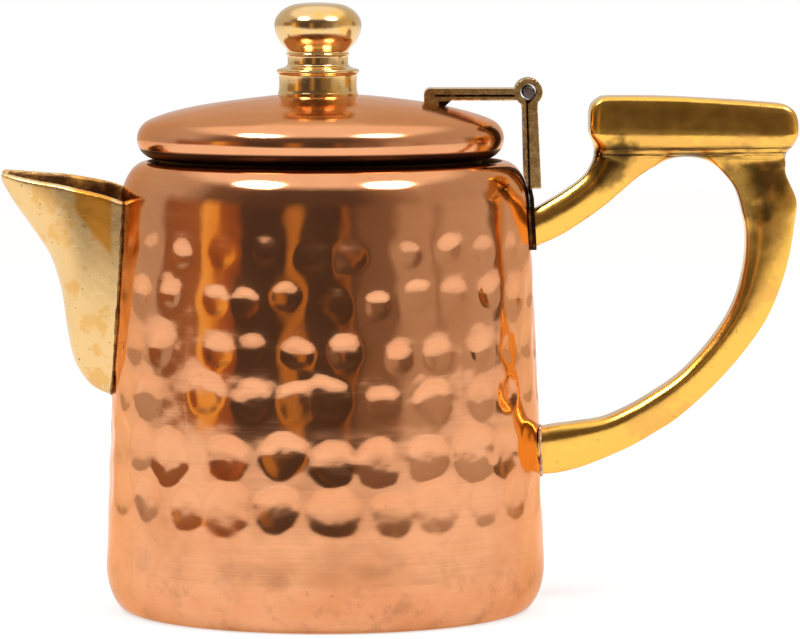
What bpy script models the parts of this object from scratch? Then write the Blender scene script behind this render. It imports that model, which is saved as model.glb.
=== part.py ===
"""Small hammered copper jug with a brass spout, brass handle and hinged lid.

Metres, +Z up. The origin is the centre of the flat base. The handle points to
+X and the spout to -X. Every piece is an object of its own. The pieces that
open with the lid hang from the empty that stands on the hinge pin's axis.
"""
import math

import bmesh
import bpy

MM = 0.001
GAP = 0.3 * MM                    # between pieces that touch or are soldered

# Copper body: a turned pot with a flat base and a ledge inside its mouth
BODY_RADIUS = 44.0 * MM           # widest, just above the base corner
BODY_HEIGHT = 89.9 * MM           # base to the crest of the shoulder
BODY_WALL = 1.0 * MM
BODY_FLARE = 3.0 * MM             # how much wider the foot is than the wall's top
WALL_BULGE = 0.25 * MM
CORNER_WIDTH = 4.6 * MM           # base corner, an ellipse's quarter
CORNER_HEIGHT = 9.3 * MM
SHOULDER_WIDTH = 5.4 * MM         # shoulder, an ellipse's quarter
SHOULDER_HEIGHT = 9.4 * MM
LIP_BEND = 0.6 * MM
LEDGE_DEPTH = 1.6 * MM            # crest down to the ledge that the lid rests on
LEDGE_WIDTH = 4.5 * MM

WALL_TOP_RADIUS = BODY_RADIUS - BODY_FLARE
CREST_RADIUS = WALL_TOP_RADIUS - SHOULDER_WIDTH
MOUTH_RADIUS = CREST_RADIUS - LIP_BEND
LEDGE_Z = BODY_HEIGHT - LEDGE_DEPTH
SHOULDER_Z = BODY_HEIGHT - SHOULDER_HEIGHT

# Strainer: holes through the wall behind the spout
HOLE_RADIUS = 1.5 * MM
HOLE_ROWS = 5
HOLE_PITCH = 4.6 * MM
HOLES_BELOW_CREST = 14.0 * MM     # crest down to the top row

# Copper lid: a dome of sheet with a rolled rim, and a ring that drops in the mouth
LID_SHIFT = 0.9 * MM              # the lid sits this far towards the spout
LID_OVERHANG = 1.1 * MM           # rim past the crest
LID_SHEET = 0.9 * MM
LID_LIFT = 0.4 * MM               # rim's underside above the crest
LID_RISE = 13.0 * MM              # rim's underside to the top of the dome
COLLAR_PLAY = 2.7 * MM            # mouth to the ring, all round
COLLAR_SHEET = 0.9 * MM
COLLAR_HEIGHT = 8.4 * MM
ROLL_START = math.radians(65)     # where the dome runs into the rolled rim
DOME_CROWN = 15.0 * MM            # curve handle at the dome's top
DOME_HAUNCH = 6.0 * MM            # curve handle at the rim

LID_RADIUS = CREST_RADIUS + LID_OVERHANG
LID_BOTTOM_Z = BODY_HEIGHT + LID_LIFT
LID_TOP_Z = LID_BOTTOM_Z + LID_RISE
COLLAR_RADIUS = MOUTH_RADIUS - COLLAR_PLAY
ROLL_CENTRE = COLLAR_RADIUS + GAP
ROLL_RADIUS = LID_RADIUS - ROLL_CENTRE

# Brass knob on the lid, and the screw and washer that hold it
KNOB_SHIFT = 1.4 * MM             # towards the spout, from the body's axis
KNOB_RADIUS = 8.7 * MM
KNOB_HEIGHT = 18.2 * MM
KNOB_BORE_DEPTH = 9.0 * MM
SCREW_RADIUS = 2.0 * MM
SCREW_HEAD_RADIUS = 3.6 * MM
SCREW_HEAD_HEIGHT = 2.0 * MM
SCREW_SLOT = 0.8 * MM
WASHER_RADIUS = 4.6 * MM
WASHER_SHEET = 0.8 * MM

# Brass hinge: two leaves of folded strap on one pin
PIN_RADIUS = 1.3 * MM
PIN_INBOARD = 0.4 * MM            # pin's axis inside the wall's top radius
PIN_ABOVE_CREST = 13.8 * MM
STRAP = 1.2 * MM                  # one layer of strap
LEAF_WIDTH = 9.0 * MM
KNUCKLE_WIDTH = 2.7 * MM          # the lid's knuckle, between the body's two
PIN_RECESS = 0.2 * MM
STEM_THICKNESS = 2.9 * MM         # both layers and their seam
STEM_LEAN = 1.2 * MM              # how far the stem leans out on its way down
STEM_DROP = 19.2 * MM             # pin down to the end of the folded strap
TAIL_DROP = 31.5 * MM             # pin down to the end of the single layer
TAIL_SHEET = 0.6 * MM
LID_LEAF_REACH = 20.8 * MM        # pin to the end that is soldered on the dome
STRAP_DROP = 0.45 * MM            # the lid strap's seam lies below the pin's axis
FOOT_LENGTH = 4.2 * MM            # the turned-down end of the lid strap
FOOT_DEPTH = 1.6 * MM

KNUCKLE_BORE = PIN_RADIUS + GAP
KNUCKLE_RADIUS = KNUCKLE_BORE + STRAP
PIN_X = WALL_TOP_RADIUS - PIN_INBOARD
PIN_Z = BODY_HEIGHT + PIN_ABOVE_CREST

# Brass spout: an open trough with its foot low on the body
SPOUT_REACH = 23.8 * MM           # wall to the tip
SPOUT_HEIGHT = 44.6 * MM          # foot to the tip
SPOUT_BELOW_CREST = 2.4 * MM      # crest down to the tip's rim
SPOUT_WALL = 1.4 * MM
SPOUT_HALF_WIDTH = 9.6 * MM
SPOUT_ROLL = 0.12                 # slope of the rim, which is lower on the -Y side
SHALLOWEST = 0.25                 # least share of a section's depth that is hollow
SPOUT_FOOT_Z = BODY_HEIGHT - SPOUT_BELOW_CREST - SPOUT_HEIGHT

# Brass handle: a loop with a broad thumb rest on top
HANDLE_REACH = 53.4 * MM          # wall to the outermost point
HANDLE_HEIGHT = 75.8 * MM         # underside of the foot to the thumb rest's top
HANDLE_BELOW_CREST = 62.8 * MM    # crest down to the underside of the foot
HANDLE_HALF_WIDTH = 4.2 * MM
THUMB_HALF_WIDTH = 6.2 * MM
THUMB_EDGE = 1.2 * MM             # rounding of the thumb rest's edges
HANDLE_FOOT_Z = BODY_HEIGHT - HANDLE_BELOW_CREST

# Facets and welding
BODY_STEPS = 48
SMALL_STEPS = 24
PIN_STEPS = 16
SPOUT_STEPS = 12
WELD = 0.001 * MM
OVERRUN = 2.0 * MM                # how far a piece runs into what trims it


# Outlines ------------------------------------------------------------------

def arc(centre, radii, start, end, steps):
    """Points of an ellipse's arc, with angles in radians from +X."""
    turns = [start + (end - start) * i / steps for i in range(steps + 1)]
    return [(centre[0] + radii[0] * math.cos(a), centre[1] + radii[1] * math.sin(a))
            for a in turns]


def bezier(p0, p1, p2, p3, steps):
    """Points of a cubic curve with two handles."""
    points = []
    for i in range(steps + 1):
        t = i / steps
        weights = ((1 - t) ** 3, 3 * t * (1 - t) ** 2, 3 * t * t * (1 - t), t ** 3)
        points.append(tuple(sum(w * p[k] for w, p in zip(weights, (p0, p1, p2, p3)))
                            for k in range(2)))
    return points


# Mesh tools ----------------------------------------------------------------

def finished(name, bm, finish=None, parent=None, at=(0.0, 0.0, 0.0)):
    """Make an object of a mesh, smooth on its round faces and set in its place."""
    bmesh.ops.remove_doubles(bm, verts=bm.verts, dist=WELD)
    bmesh.ops.recalc_face_normals(bm, faces=bm.faces)
    mesh = bpy.data.meshes.new(name)
    bm.to_mesh(mesh)
    bm.free()
    mesh.shade_smooth()
    mesh.set_sharp_from_angle(angle=math.radians(35))
    piece = bpy.data.objects.new(name, mesh)
    bpy.context.collection.objects.link(piece)
    piece.location = at
    if parent is not None:
        piece.parent = parent
        piece.location = [a - b for a, b in zip(at, parent.location)]
    if finish is None:
        piece.hide_render = True
        piece.display_type = "WIRE"
    else:
        mesh.materials.append(finish)
    return piece


def turned(name, outline, steps=BODY_STEPS, **place):
    """Turn an outline of (radius, height) about Z.

    An outline that starts and ends on the axis makes a solid, and any other is
    closed into a ring.
    """
    bm = bmesh.new()
    verts = [bm.verts.new((r, 0.0, z)) for r, z in outline]
    pairs = list(zip(verts, verts[1:]))
    if outline[0][0] > 0:
        pairs.append((verts[-1], verts[0]))
    edges = [bm.edges.new(pair) for pair in pairs]
    bmesh.ops.spin(bm, geom=verts + edges, cent=(0, 0, 0), axis=(0, 0, 1),
                   angle=2 * math.pi, steps=steps, use_merge=True)
    return finished(name, bm, **place)


def extruded(name, outline, width, middle=0.0, **place):
    """Extrude an outline of (x, z) along Y, centred on middle."""
    bm = bmesh.new()
    face = bm.faces.new([bm.verts.new((x, middle - width / 2, z)) for x, z in outline])
    sides = bmesh.ops.extrude_face_region(bm, geom=[face])["geom"]
    moved = [item for item in sides if isinstance(item, bmesh.types.BMVert)]
    bmesh.ops.translate(bm, vec=(0, width, 0), verts=moved)
    return finished(name, bm, **place)


def box(name, low, high, **place):
    """A plain block from its lowest to its highest corner."""
    corners = [(low[0], low[2]), (high[0], low[2]), (high[0], high[2]), (low[0], high[2])]
    return extruded(name, corners, high[1] - low[1], (low[1] + high[1]) / 2, **place)


def rod(name, radius, length, along, steps=PIN_STEPS, **place):
    """A round bar centred on its origin, along the axis 'X', 'Y' or 'Z'."""
    bm = bmesh.new()
    bmesh.ops.create_cone(bm, cap_ends=True, segments=steps, radius1=radius,
                          radius2=radius, depth=length)
    if along == "X":
        swap = lambda co: (co.z, co.y, -co.x)
    elif along == "Y":
        swap = lambda co: (co.x, co.z, -co.y)
    else:
        swap = lambda co: co
    for vert in bm.verts:
        vert.co = swap(vert.co.copy())
    return finished(name, bm, **place)


def combine(piece, tool, operation="DIFFERENCE"):
    """Cut a tool out of a piece, or join it on, and keep the tool as a guide."""
    change = piece.modifiers.new(tool.name, "BOOLEAN")
    change.operation = operation
    change.solver = "EXACT"
    change.object = tool


def metal(name, colour, roughness):
    """A bare metal finish."""
    finish = bpy.data.materials.new(name)
    finish.use_nodes = True
    shader = finish.node_tree.nodes["Principled BSDF"]
    shader.inputs["Base Color"].default_value = (*colour, 1.0)
    shader.inputs["Metallic"].default_value = 1.0
    shader.inputs["Roughness"].default_value = roughness
    return finish


# Shapes that more than one piece takes its fit from ---------------------------

def wall_radius(z):
    """The body's outer radius at a height on its slightly bulging wall."""
    t = (z - CORNER_HEIGHT) / (SHOULDER_Z - CORNER_HEIGHT)
    return BODY_RADIUS - BODY_FLARE * t + 4 * WALL_BULGE * t * (1 - t)


def body_skin(grow, end=math.pi / 2):
    """The body's side from the base corner to the crest, moved out by grow."""
    corner = arc((BODY_RADIUS - CORNER_WIDTH, CORNER_HEIGHT),
                 (CORNER_WIDTH + grow, CORNER_HEIGHT + grow), -math.pi / 2, 0, 6)
    heights = [CORNER_HEIGHT + (SHOULDER_Z - CORNER_HEIGHT) * i / 4 for i in (1, 2, 3)]
    wall = [(wall_radius(z) + grow, z) for z in heights]
    shoulder = arc((CREST_RADIUS, SHOULDER_Z),
                   (SHOULDER_WIDTH + grow, SHOULDER_HEIGHT + grow), 0, end, 6)
    return corner + wall + shoulder


def lid_skin(grow):
    """The lid's dome and rolled rim from the axis to the underside, moved out."""
    centre = (ROLL_CENTRE, LID_BOTTOM_Z + ROLL_RADIUS)
    roll = arc(centre, (ROLL_RADIUS + grow, ROLL_RADIUS + grow), ROLL_START, -math.pi / 2, 9)
    slope = (-math.sin(ROLL_START) * DOME_HAUNCH, math.cos(ROLL_START) * DOME_HAUNCH)
    haunch = (roll[0][0] + slope[0], roll[0][1] + slope[1])
    top = (0.0, LID_TOP_Z + grow)
    dome = bezier(top, (DOME_CROWN, top[1]), haunch, roll[0], 7)
    return dome[:-1] + roll


def body_guide():
    """What trims the pieces that are soldered to the body's side."""
    skin = body_skin(GAP)
    outline = [(0.0, skin[0][1])] + skin + [(0.0, skin[-1][1])]
    return turned("guide_body", outline)


def lid_guide():
    """What trims the pieces that stand on the lid."""
    skin = lid_skin(GAP)
    return turned("guide_lid", skin + [(0.0, skin[-1][1])], at=(-LID_SHIFT, 0, 0))


# The pieces --------------------------------------------------------------------

def make_body_shell(finish):
    """Turned copper pot, open at the mouth, with strainer holes behind the spout."""
    under_ledge = LEDGE_Z - BODY_WALL
    meets_ledge = math.asin((under_ledge - SHOULDER_Z) / (SHOULDER_HEIGHT - BODY_WALL))
    lip = arc((CREST_RADIUS, BODY_HEIGHT - LIP_BEND), (LIP_BEND, LIP_BEND),
              math.pi / 2, math.pi, 3)[1:]
    ledge = [(MOUTH_RADIUS, LEDGE_Z), (MOUTH_RADIUS - LEDGE_WIDTH, LEDGE_Z),
             (MOUTH_RADIUS - LEDGE_WIDTH, under_ledge)]
    inside = body_skin(-BODY_WALL, meets_ledge)[::-1]
    outline = [(0.0, 0.0)] + body_skin(0) + lip + ledge + inside + [(0.0, BODY_WALL)]
    shell = turned("body_shell", outline, finish=finish)
    for row in range(HOLE_ROWS):
        in_row = 3 - row % 2
        for column in range(in_row):
            y = (column - (in_row - 1) / 2) * HOLE_PITCH
            z = BODY_HEIGHT - HOLES_BELOW_CREST - row * HOLE_PITCH
            hole = rod(f"guide_hole_{row}_{column}", HOLE_RADIUS, BODY_RADIUS, "X",
                       steps=10, at=(-BODY_RADIUS, y, z))
            combine(shell, hole)


# Spout sections from the root to the tip: rim point, keel point, half width, and
# how pointed the section is. Points are millimetres out from the wall and up from
# the foot; the first section lies inside the body, which trims it.
SPOUT_SECTIONS = (
    ((-4.0, 38.6), (-4.0, -1.0), 9.6, 0.75),
    ((-0.5, 39.9), (2.4, 0.1), 9.6, 0.75),
    ((2.0, 40.8), (6.4, 2.4), 9.5, 0.78),
    ((5.0, 41.6), (9.3, 7.0), 9.1, 0.82),
    ((8.5, 42.3), (10.8, 14.0), 8.4, 0.88),
    ((12.0, 43.0), (11.8, 21.0), 7.5, 0.95),
    ((15.5, 43.4), (14.0, 28.0), 6.4, 1.05),
    ((18.6, 43.8), (18.2, 34.4), 5.3, 1.15),
    ((21.2, 44.2), (21.0, 38.4), 4.2, 1.2),
    ((23.8, 44.6), (23.6, 42.8), 2.6, 1.2),
)


def spout_ring(section, inset, shift):
    """Points of one cross-section, from the rim round the keel to the other rim."""
    rim, keel, half_width, point = section
    out = SPOUT_REACH / SPOUT_SECTIONS[-1][0][0]
    up = SPOUT_HEIGHT / SPOUT_SECTIONS[-1][0][1]
    wide = SPOUT_HALF_WIDTH / SPOUT_SECTIONS[0][2]
    depth = math.hypot((keel[0] - rim[0]) * out, (keel[1] - rim[1]) * up)
    deepest = max(1 - inset / depth, SHALLOWEST)
    ring = []
    for i in range(SPOUT_STEPS + 1):
        turn = math.pi * (i / SPOUT_STEPS - 0.5)
        y = math.copysign(abs(math.sin(turn)) ** point, turn) * (half_width * wide - inset)
        down = max(math.cos(turn), 0.0) ** point * deepest
        x = (rim[0] + (keel[0] - rim[0]) * down) * out - shift
        z = (rim[1] + (keel[1] - rim[1]) * down) * up
        lean = SPOUT_ROLL * y * z / SPOUT_HEIGHT
        ring.append((-WALL_TOP_RADIUS - x, y, SPOUT_FOOT_Z + z + lean))
    return ring


def make_spout(finish):
    """Brass trough, open on top and towards the strainer holes."""
    bm = bmesh.new()
    outer = []
    inner = []
    for section in SPOUT_SECTIONS:
        set_back = SPOUT_WALL if section is SPOUT_SECTIONS[-1] else 0.0
        outer.append([bm.verts.new(co) for co in spout_ring(section, 0.0, 0.0)])
        inner.append([bm.verts.new(co) for co in spout_ring(section, SPOUT_WALL, set_back)])
    for rings in (outer, inner):
        for a, b in zip(rings, rings[1:]):
            for i in range(SPOUT_STEPS):
                bm.faces.new((a[i], a[i + 1], b[i + 1], b[i]))
    for side in (0, -1):
        for a, b, c, d in zip(outer, outer[1:], inner[1:], inner):
            bm.faces.new((a[side], b[side], c[side], d[side]))
    for i in range(SPOUT_STEPS):
        bm.faces.new((outer[0][i], outer[0][i + 1], inner[0][i + 1], inner[0][i]))
    bm.faces.new(outer[-1])
    bm.faces.new(inner[-1])
    bm.faces.new((outer[-1][0], outer[-1][-1], inner[-1][-1], inner[-1][0]))
    spout = finished("spout", bm, finish=finish)
    combine(spout, body_guide())


# The handle's loop as pairs of points, on its outer and inner edge, from the upper
# root to the lower one; then the outline of the thumb rest that stands on it.
# Millimetres out from the wall and up from the underside of the foot. The first
# and the last pair lie inside the body, which trims them.
HANDLE_LOOP = (
    ((-3.0, 51.0), (-3.0, 43.6)), ((1.2, 53.4), (0.8, 45.6)),
    ((6.6, 56.6), (7.0, 48.5)), ((10.8, 59.8), (14.2, 53.4)),
    ((12.6, 63.0), (18.0, 56.6)), ((13.6, 67.0), (21.0, 59.2)),
    ((18.0, 70.5), (24.2, 61.4)), ((25.0, 72.5), (28.0, 63.2)),
    ((32.0, 73.0), (31.4, 63.6)), ((39.0, 72.0), (34.8, 63.1)),
    ((46.0, 69.5), (37.4, 61.6)), ((50.8, 64.0), (40.0, 58.8)),
    ((51.0, 60.4), (41.4, 56.3)), ((53.2, 55.0), (42.4, 52.6)),
    ((52.8, 50.2), (43.1, 48.9)), ((51.8, 43.8), (42.9, 42.9)),
    ((50.0, 37.4), (41.5, 36.4)), ((47.2, 31.0), (39.0, 30.9)),
    ((42.8, 24.6), (34.8, 25.1)), ((37.2, 18.2), (29.6, 19.8)),
    ((30.2, 11.8), (24.0, 15.9)), ((25.4, 8.6), (19.6, 13.4)),
    ((19.8, 5.4), (14.8, 11.3)), ((12.4, 2.2), (9.5, 10.4)),
    ((7.2, 0.6), (5.5, 9.9)), ((3.0, 0.0), (2.5, 9.4)),
    ((-2.0, 0.0), (-2.0, 9.2)),
)
THUMB_REST = (
    (12.8, 65.3), (11.9, 68.9), (11.6, 71.8), (12.2, 74.2), (14.8, 75.8),
    (27.8, 75.7), (39.0, 75.1), (50.6, 74.2), (52.8, 72.6), (53.4, 69.4),
    (52.6, 66.2), (51.4, 64.6),
)
# One side of the loop's section: from the outer edge (1) to the inner edge (-1),
# with the share of the half width. The side has a soft ridge.
LOOP_SECTION = ((1.0, 0.45), (0.25, 1.0), (-0.55, 0.9), (-1.0, 0.45))


def handle_place(point):
    """Where a point of the handle's outline lies, as (x, z)."""
    out = HANDLE_REACH / max(x for x, z in THUMB_REST)
    up = HANDLE_HEIGHT / max(z for x, z in THUMB_REST)
    return WALL_TOP_RADIUS + point[0] * out, HANDLE_FOOT_Z + point[1] * up


def make_handle(finish, tail):
    """Cast brass loop with a broad thumb rest, trimmed to the body and the hinge."""
    bm = bmesh.new()
    section = LOOP_SECTION + tuple((s, -w) for s, w in reversed(LOOP_SECTION))
    rings = []
    for outer, inner in HANDLE_LOOP:
        outer_x, outer_z = handle_place(outer)
        inner_x, inner_z = handle_place(inner)
        ring = []
        for share, width in section:
            t = (1 + share) / 2
            ring.append(bm.verts.new((inner_x + (outer_x - inner_x) * t,
                                      width * HANDLE_HALF_WIDTH,
                                      inner_z + (outer_z - inner_z) * t)))
        rings.append(ring)
    for a, b in zip(rings, rings[1:]):
        for i in range(len(section)):
            j = (i + 1) % len(section)
            bm.faces.new((a[i], a[j], b[j], b[i]))
    bm.faces.new(rings[0])
    bm.faces.new(rings[-1])
    handle = finished("handle", bm, finish=finish)
    rest = extruded("guide_thumb_rest", [handle_place(p) for p in THUMB_REST],
                    2 * THUMB_HALF_WIDTH)
    edge = rest.modifiers.new("edge", "BEVEL")
    edge.width = THUMB_EDGE
    edge.segments = 2
    edge.limit_method = "ANGLE"
    edge.angle_limit = math.radians(60)
    combine(handle, rest, "UNION")
    combine(handle, body_guide())
    combine(handle, tail)


def knuckle_arc(start, end):
    """Part of a knuckle's outside, about the pin."""
    return arc((0.0, 0.0), (KNUCKLE_RADIUS, KNUCKLE_RADIUS),
               math.radians(start), math.radians(end), 12)


def make_hinge_body_leaf(finish):
    """Strap folded round the pin, with one layer running on down the wall."""
    stem_end = -STEM_DROP
    neck = knuckle_arc(-51, 246)
    stem_left = STEM_LEAN - STRAP
    stem_right = STEM_LEAN + STEM_THICKNESS - STRAP
    steps = 3
    tail_outer = []
    for i in range(steps + 1):
        z = stem_end - (TAIL_DROP - STEM_DROP) * i / steps
        tail_outer.append((wall_radius(PIN_Z + z) + GAP + TAIL_SHEET - PIN_X, z))
    tail_inner = [(x - TAIL_SHEET - GAP, z) for x, z in tail_outer]
    outline = (neck + [(stem_left, stem_end)] + tail_inner + tail_outer[::-1]
               + [(stem_right, stem_end)])
    leaf = extruded("hinge_body_leaf", outline, LEAF_WIDTH, finish=finish,
                    at=(PIN_X, 0, PIN_Z))
    combine(leaf, body_guide())
    combine(leaf, rod("guide_body_bore", KNUCKLE_BORE, 2 * LEAF_WIDTH, "Y",
                      at=(PIN_X, 0, PIN_Z)))
    reach = KNUCKLE_RADIUS + GAP
    room = KNUCKLE_WIDTH / 2 + GAP
    combine(leaf, box("guide_body_notch", (-2 * reach, -room, -reach),
                      (2 * reach, room, 2 * reach), at=(PIN_X, 0, PIN_Z)))
    return leaf


def tail_guide():
    """What trims the handle's upper root flat behind the hinge's tail."""
    low = PIN_Z - TAIL_DROP - GAP
    outer = max(wall_radius(low), WALL_TOP_RADIUS) + 2 * GAP + TAIL_SHEET
    half = LEAF_WIDTH / 2 + GAP
    return box("guide_tail", (0.0, -half, low), (outer, half, PIN_Z))


def make_hinge_lid_leaf(finish, axis):
    """Strap folded round the pin and turned down on the dome, where it is soldered."""
    top = STRAP - STRAP_DROP
    bottom = -STRAP - STRAP_DROP
    left = -LID_LEAF_REACH
    knuckle = knuckle_arc(165, -144)
    foot = [(left + FOOT_LENGTH + STRAP, bottom), (left + FOOT_LENGTH, bottom - FOOT_DEPTH),
            (left, bottom - FOOT_DEPTH)]
    bend = arc((left + STRAP, top - STRAP), (STRAP, STRAP), math.pi, math.pi / 2, 4)
    leaf = extruded("hinge_lid_leaf", knuckle + [(-KNUCKLE_RADIUS, bottom)] + foot + bend,
                    LEAF_WIDTH, finish=finish, parent=axis, at=(PIN_X, 0, PIN_Z))
    combine(leaf, lid_guide())
    combine(leaf, rod("guide_lid_bore", KNUCKLE_BORE, 2 * LEAF_WIDTH, "Y",
                      at=(PIN_X, 0, PIN_Z)))
    near = KNUCKLE_WIDTH / 2
    reach = KNUCKLE_RADIUS + GAP
    for side in (-1, 1):
        low, high = sorted((side * near, side * LEAF_WIDTH))
        combine(leaf, box(f"guide_lid_notch_{side}", (-reach, low, -2 * reach),
                          (2 * reach, high, 2 * reach), at=(PIN_X, 0, PIN_Z)))


def make_hinge_pin(finish):
    """Plain brass pin, a little shorter than the knuckles."""
    rod("hinge_pin", PIN_RADIUS, LEAF_WIDTH - 2 * PIN_RECESS, "Y", finish=finish,
        at=(PIN_X, 0, PIN_Z))


def make_lid_shell(finish, axis):
    """Copper sheet dome whose rim is rolled under, with the knob screw's hole."""
    outline = lid_skin(0) + lid_skin(-LID_SHEET)[::-1]
    shell = turned("lid_shell", outline, finish=finish, parent=axis, at=(-LID_SHIFT, 0, 0))
    combine(shell, rod("guide_screw_hole", SCREW_RADIUS + GAP, 4 * LID_SHEET, "Z",
                       at=(-KNOB_SHIFT, 0, LID_TOP_Z)))


def make_lid_collar(finish, axis):
    """Copper ring soldered in the rolled rim; its lower edge stands on the ledge."""
    bottom = LEDGE_Z + GAP
    top = bottom + COLLAR_HEIGHT
    inside = COLLAR_RADIUS - COLLAR_SHEET
    outline = [(COLLAR_RADIUS, top), (COLLAR_RADIUS, bottom), (inside, bottom), (inside, top)]
    turned("lid_collar", outline, finish=finish, parent=axis, at=(-LID_SHIFT, 0, 0))


# The knob's side from its crown to its foot, in millimetres: radius and height
KNOB_PROFILE = (
    (0.0, 18.2), (3.5, 18.0), (6.2, 17.3), (7.9, 16.0), (8.6, 14.6), (8.7, 13.6),
    (8.5, 12.2), (7.9, 10.8), (6.7, 9.4), (6.1, 8.2), (6.0, 7.4), (6.3, 6.4),
    (7.9, 5.3), (8.25, 4.7), (8.1, 4.1), (7.8, 3.2), (7.75, 1.6), (8.0, 0.0),
)


def make_knob(finish, axis):
    """Turned brass knob with a bore for its screw."""
    wide = KNOB_RADIUS / max(r for r, z in KNOB_PROFILE)
    tall = KNOB_HEIGHT / KNOB_PROFILE[0][1]
    side = [(r * wide, z * tall) for r, z in KNOB_PROFILE]
    foot = side[-1][0]
    bore = SCREW_RADIUS + GAP
    outline = side + [(foot, -OVERRUN), (bore, -OVERRUN), (bore, KNOB_BORE_DEPTH),
                      (0.0, KNOB_BORE_DEPTH)]
    knob = turned("knob", outline, SMALL_STEPS, finish=finish, parent=axis,
                  at=(-KNOB_SHIFT, 0, LID_TOP_Z))
    combine(knob, lid_guide())


def make_knob_screw(finish, axis):
    """Slotted screw that comes up from inside the lid."""
    shank = KNOB_BORE_DEPTH - OVERRUN
    seat = -LID_SHEET - 2 * GAP - WASHER_SHEET
    under = seat - SCREW_HEAD_HEIGHT
    crown = arc((SCREW_HEAD_RADIUS / 2, under + SCREW_HEAD_HEIGHT / 2),
                (SCREW_HEAD_RADIUS / 2, SCREW_HEAD_HEIGHT / 2), 0, -math.pi / 2, 3)
    outline = [(0.0, shank), (SCREW_RADIUS, shank), (SCREW_RADIUS, seat),
               (SCREW_HEAD_RADIUS, seat)] + crown + [(0.0, under)]
    place = (-KNOB_SHIFT, 0, LID_TOP_Z)
    screw = turned("knob_screw", outline, PIN_STEPS, finish=finish, parent=axis, at=place)
    low = (-SCREW_HEAD_RADIUS * 2, -SCREW_SLOT / 2, under - SCREW_HEAD_HEIGHT)
    high = (SCREW_HEAD_RADIUS * 2, SCREW_SLOT / 2, under + SCREW_HEAD_HEIGHT / 2)
    combine(screw, box("guide_slot", low, high, at=place))


def make_knob_washer(finish, axis):
    """Flat ring between the screw's head and the lid's underside."""
    top = -LID_SHEET - GAP
    hole = SCREW_RADIUS + GAP
    outline = [(WASHER_RADIUS, top), (WASHER_RADIUS, top - WASHER_SHEET),
               (hole, top - WASHER_SHEET), (hole, top)]
    turned("knob_washer", outline, PIN_STEPS, finish=finish, parent=axis,
           at=(-KNOB_SHIFT, 0, LID_TOP_Z))


def main():
    for item in list(bpy.data.objects):
        bpy.data.objects.remove(item, do_unlink=True)
    copper = metal("polished_copper", (0.86, 0.45, 0.29), 0.16)
    spout_brass = metal("cast_spout_brass", (0.86, 0.68, 0.36), 0.28)
    handle_brass = metal("polished_brass", (0.84, 0.60, 0.22), 0.18)
    strap_brass = metal("dull_brass_strap", (0.58, 0.42, 0.22), 0.34)
    fixing_brass = metal("plain_brass", (0.72, 0.56, 0.30), 0.35)

    axis = bpy.data.objects.new("lid_axis", None)
    bpy.context.collection.objects.link(axis)
    axis.location = (PIN_X, 0, PIN_Z)

    make_body_shell(copper)
    make_spout(spout_brass)
    make_handle(handle_brass, tail_guide())
    make_hinge_body_leaf(strap_brass)
    make_hinge_pin(fixing_brass)
    make_hinge_lid_leaf(strap_brass, axis)
    make_lid_shell(copper, axis)
    make_lid_collar(copper, axis)
    make_knob(handle_brass, axis)
    make_knob_screw(fixing_brass, axis)
    make_knob_washer(fixing_brass, axis)


main()
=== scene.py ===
"""Hammered copper jug with brass fittings, finished around its packed frame.

Metres, +Z up. The handle points to +X, the spout to -X and the camera looks along
+Y. Every operator makes one piece, or one group of like pieces, in its place.
"""
import math

import bmesh
import bpy
import numpy as np
from bpy.props import FloatProperty, FloatVectorProperty, IntProperty, PointerProperty
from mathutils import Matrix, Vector


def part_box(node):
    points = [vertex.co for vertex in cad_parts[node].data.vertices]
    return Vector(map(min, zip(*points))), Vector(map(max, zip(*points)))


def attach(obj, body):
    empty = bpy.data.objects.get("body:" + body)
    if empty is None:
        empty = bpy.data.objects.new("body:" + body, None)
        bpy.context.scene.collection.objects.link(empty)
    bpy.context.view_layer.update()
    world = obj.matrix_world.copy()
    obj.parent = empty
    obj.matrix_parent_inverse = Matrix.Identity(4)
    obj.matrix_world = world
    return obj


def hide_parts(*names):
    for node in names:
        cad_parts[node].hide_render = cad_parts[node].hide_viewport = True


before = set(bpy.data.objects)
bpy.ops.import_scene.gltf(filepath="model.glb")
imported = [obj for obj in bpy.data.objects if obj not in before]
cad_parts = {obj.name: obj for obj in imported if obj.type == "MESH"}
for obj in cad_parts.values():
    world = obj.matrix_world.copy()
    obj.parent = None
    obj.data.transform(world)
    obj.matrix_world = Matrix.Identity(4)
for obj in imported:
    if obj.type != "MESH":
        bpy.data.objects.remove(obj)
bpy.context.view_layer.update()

bl_info = {
    "name": "Hammered copper jug",
    "version": (1, 0, 0),
    "blender": (4, 5, 0),
    "location": "3D View > Sidebar > Jug",
    "description": "Finishes a hammered copper jug with brass fittings",
    "category": "Add Mesh",
}

MM = 0.001

# Places that the frame settles
SHELL_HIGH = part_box("body_shell")[1]
LID_LOW, LID_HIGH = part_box("lid_shell")
COLLAR_LOW, COLLAR_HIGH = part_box("lid_collar")
KNOB_LOW, KNOB_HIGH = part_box("knob")
SCREW_LOW, SCREW_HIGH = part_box("knob_screw")
WASHER_LOW, WASHER_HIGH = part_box("knob_washer")
PIN_LOW, PIN_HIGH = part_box("hinge_pin")
SPOUT_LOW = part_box("spout")[0]
HANDLE_LOW, HANDLE_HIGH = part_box("handle")
STEM_LOW, STEM_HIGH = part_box("hinge_body_leaf")
STRAP_LOW, STRAP_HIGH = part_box("hinge_lid_leaf")
LID_X = (LID_LOW.x + LID_HIGH.x) / 2
COLLAR_X = (COLLAR_LOW.x + COLLAR_HIGH.x) / 2
KNOB_X = (KNOB_LOW.x + KNOB_HIGH.x) / 2
PIN_X = (PIN_LOW.x + PIN_HIGH.x) / 2
PIN_Z = (PIN_LOW.z + PIN_HIGH.z) / 2
PIN_RADIUS = (PIN_HIGH.z - PIN_LOW.z) / 2

BEDDING = 0.35 * MM                # how far a casting reaches into the copper


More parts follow.
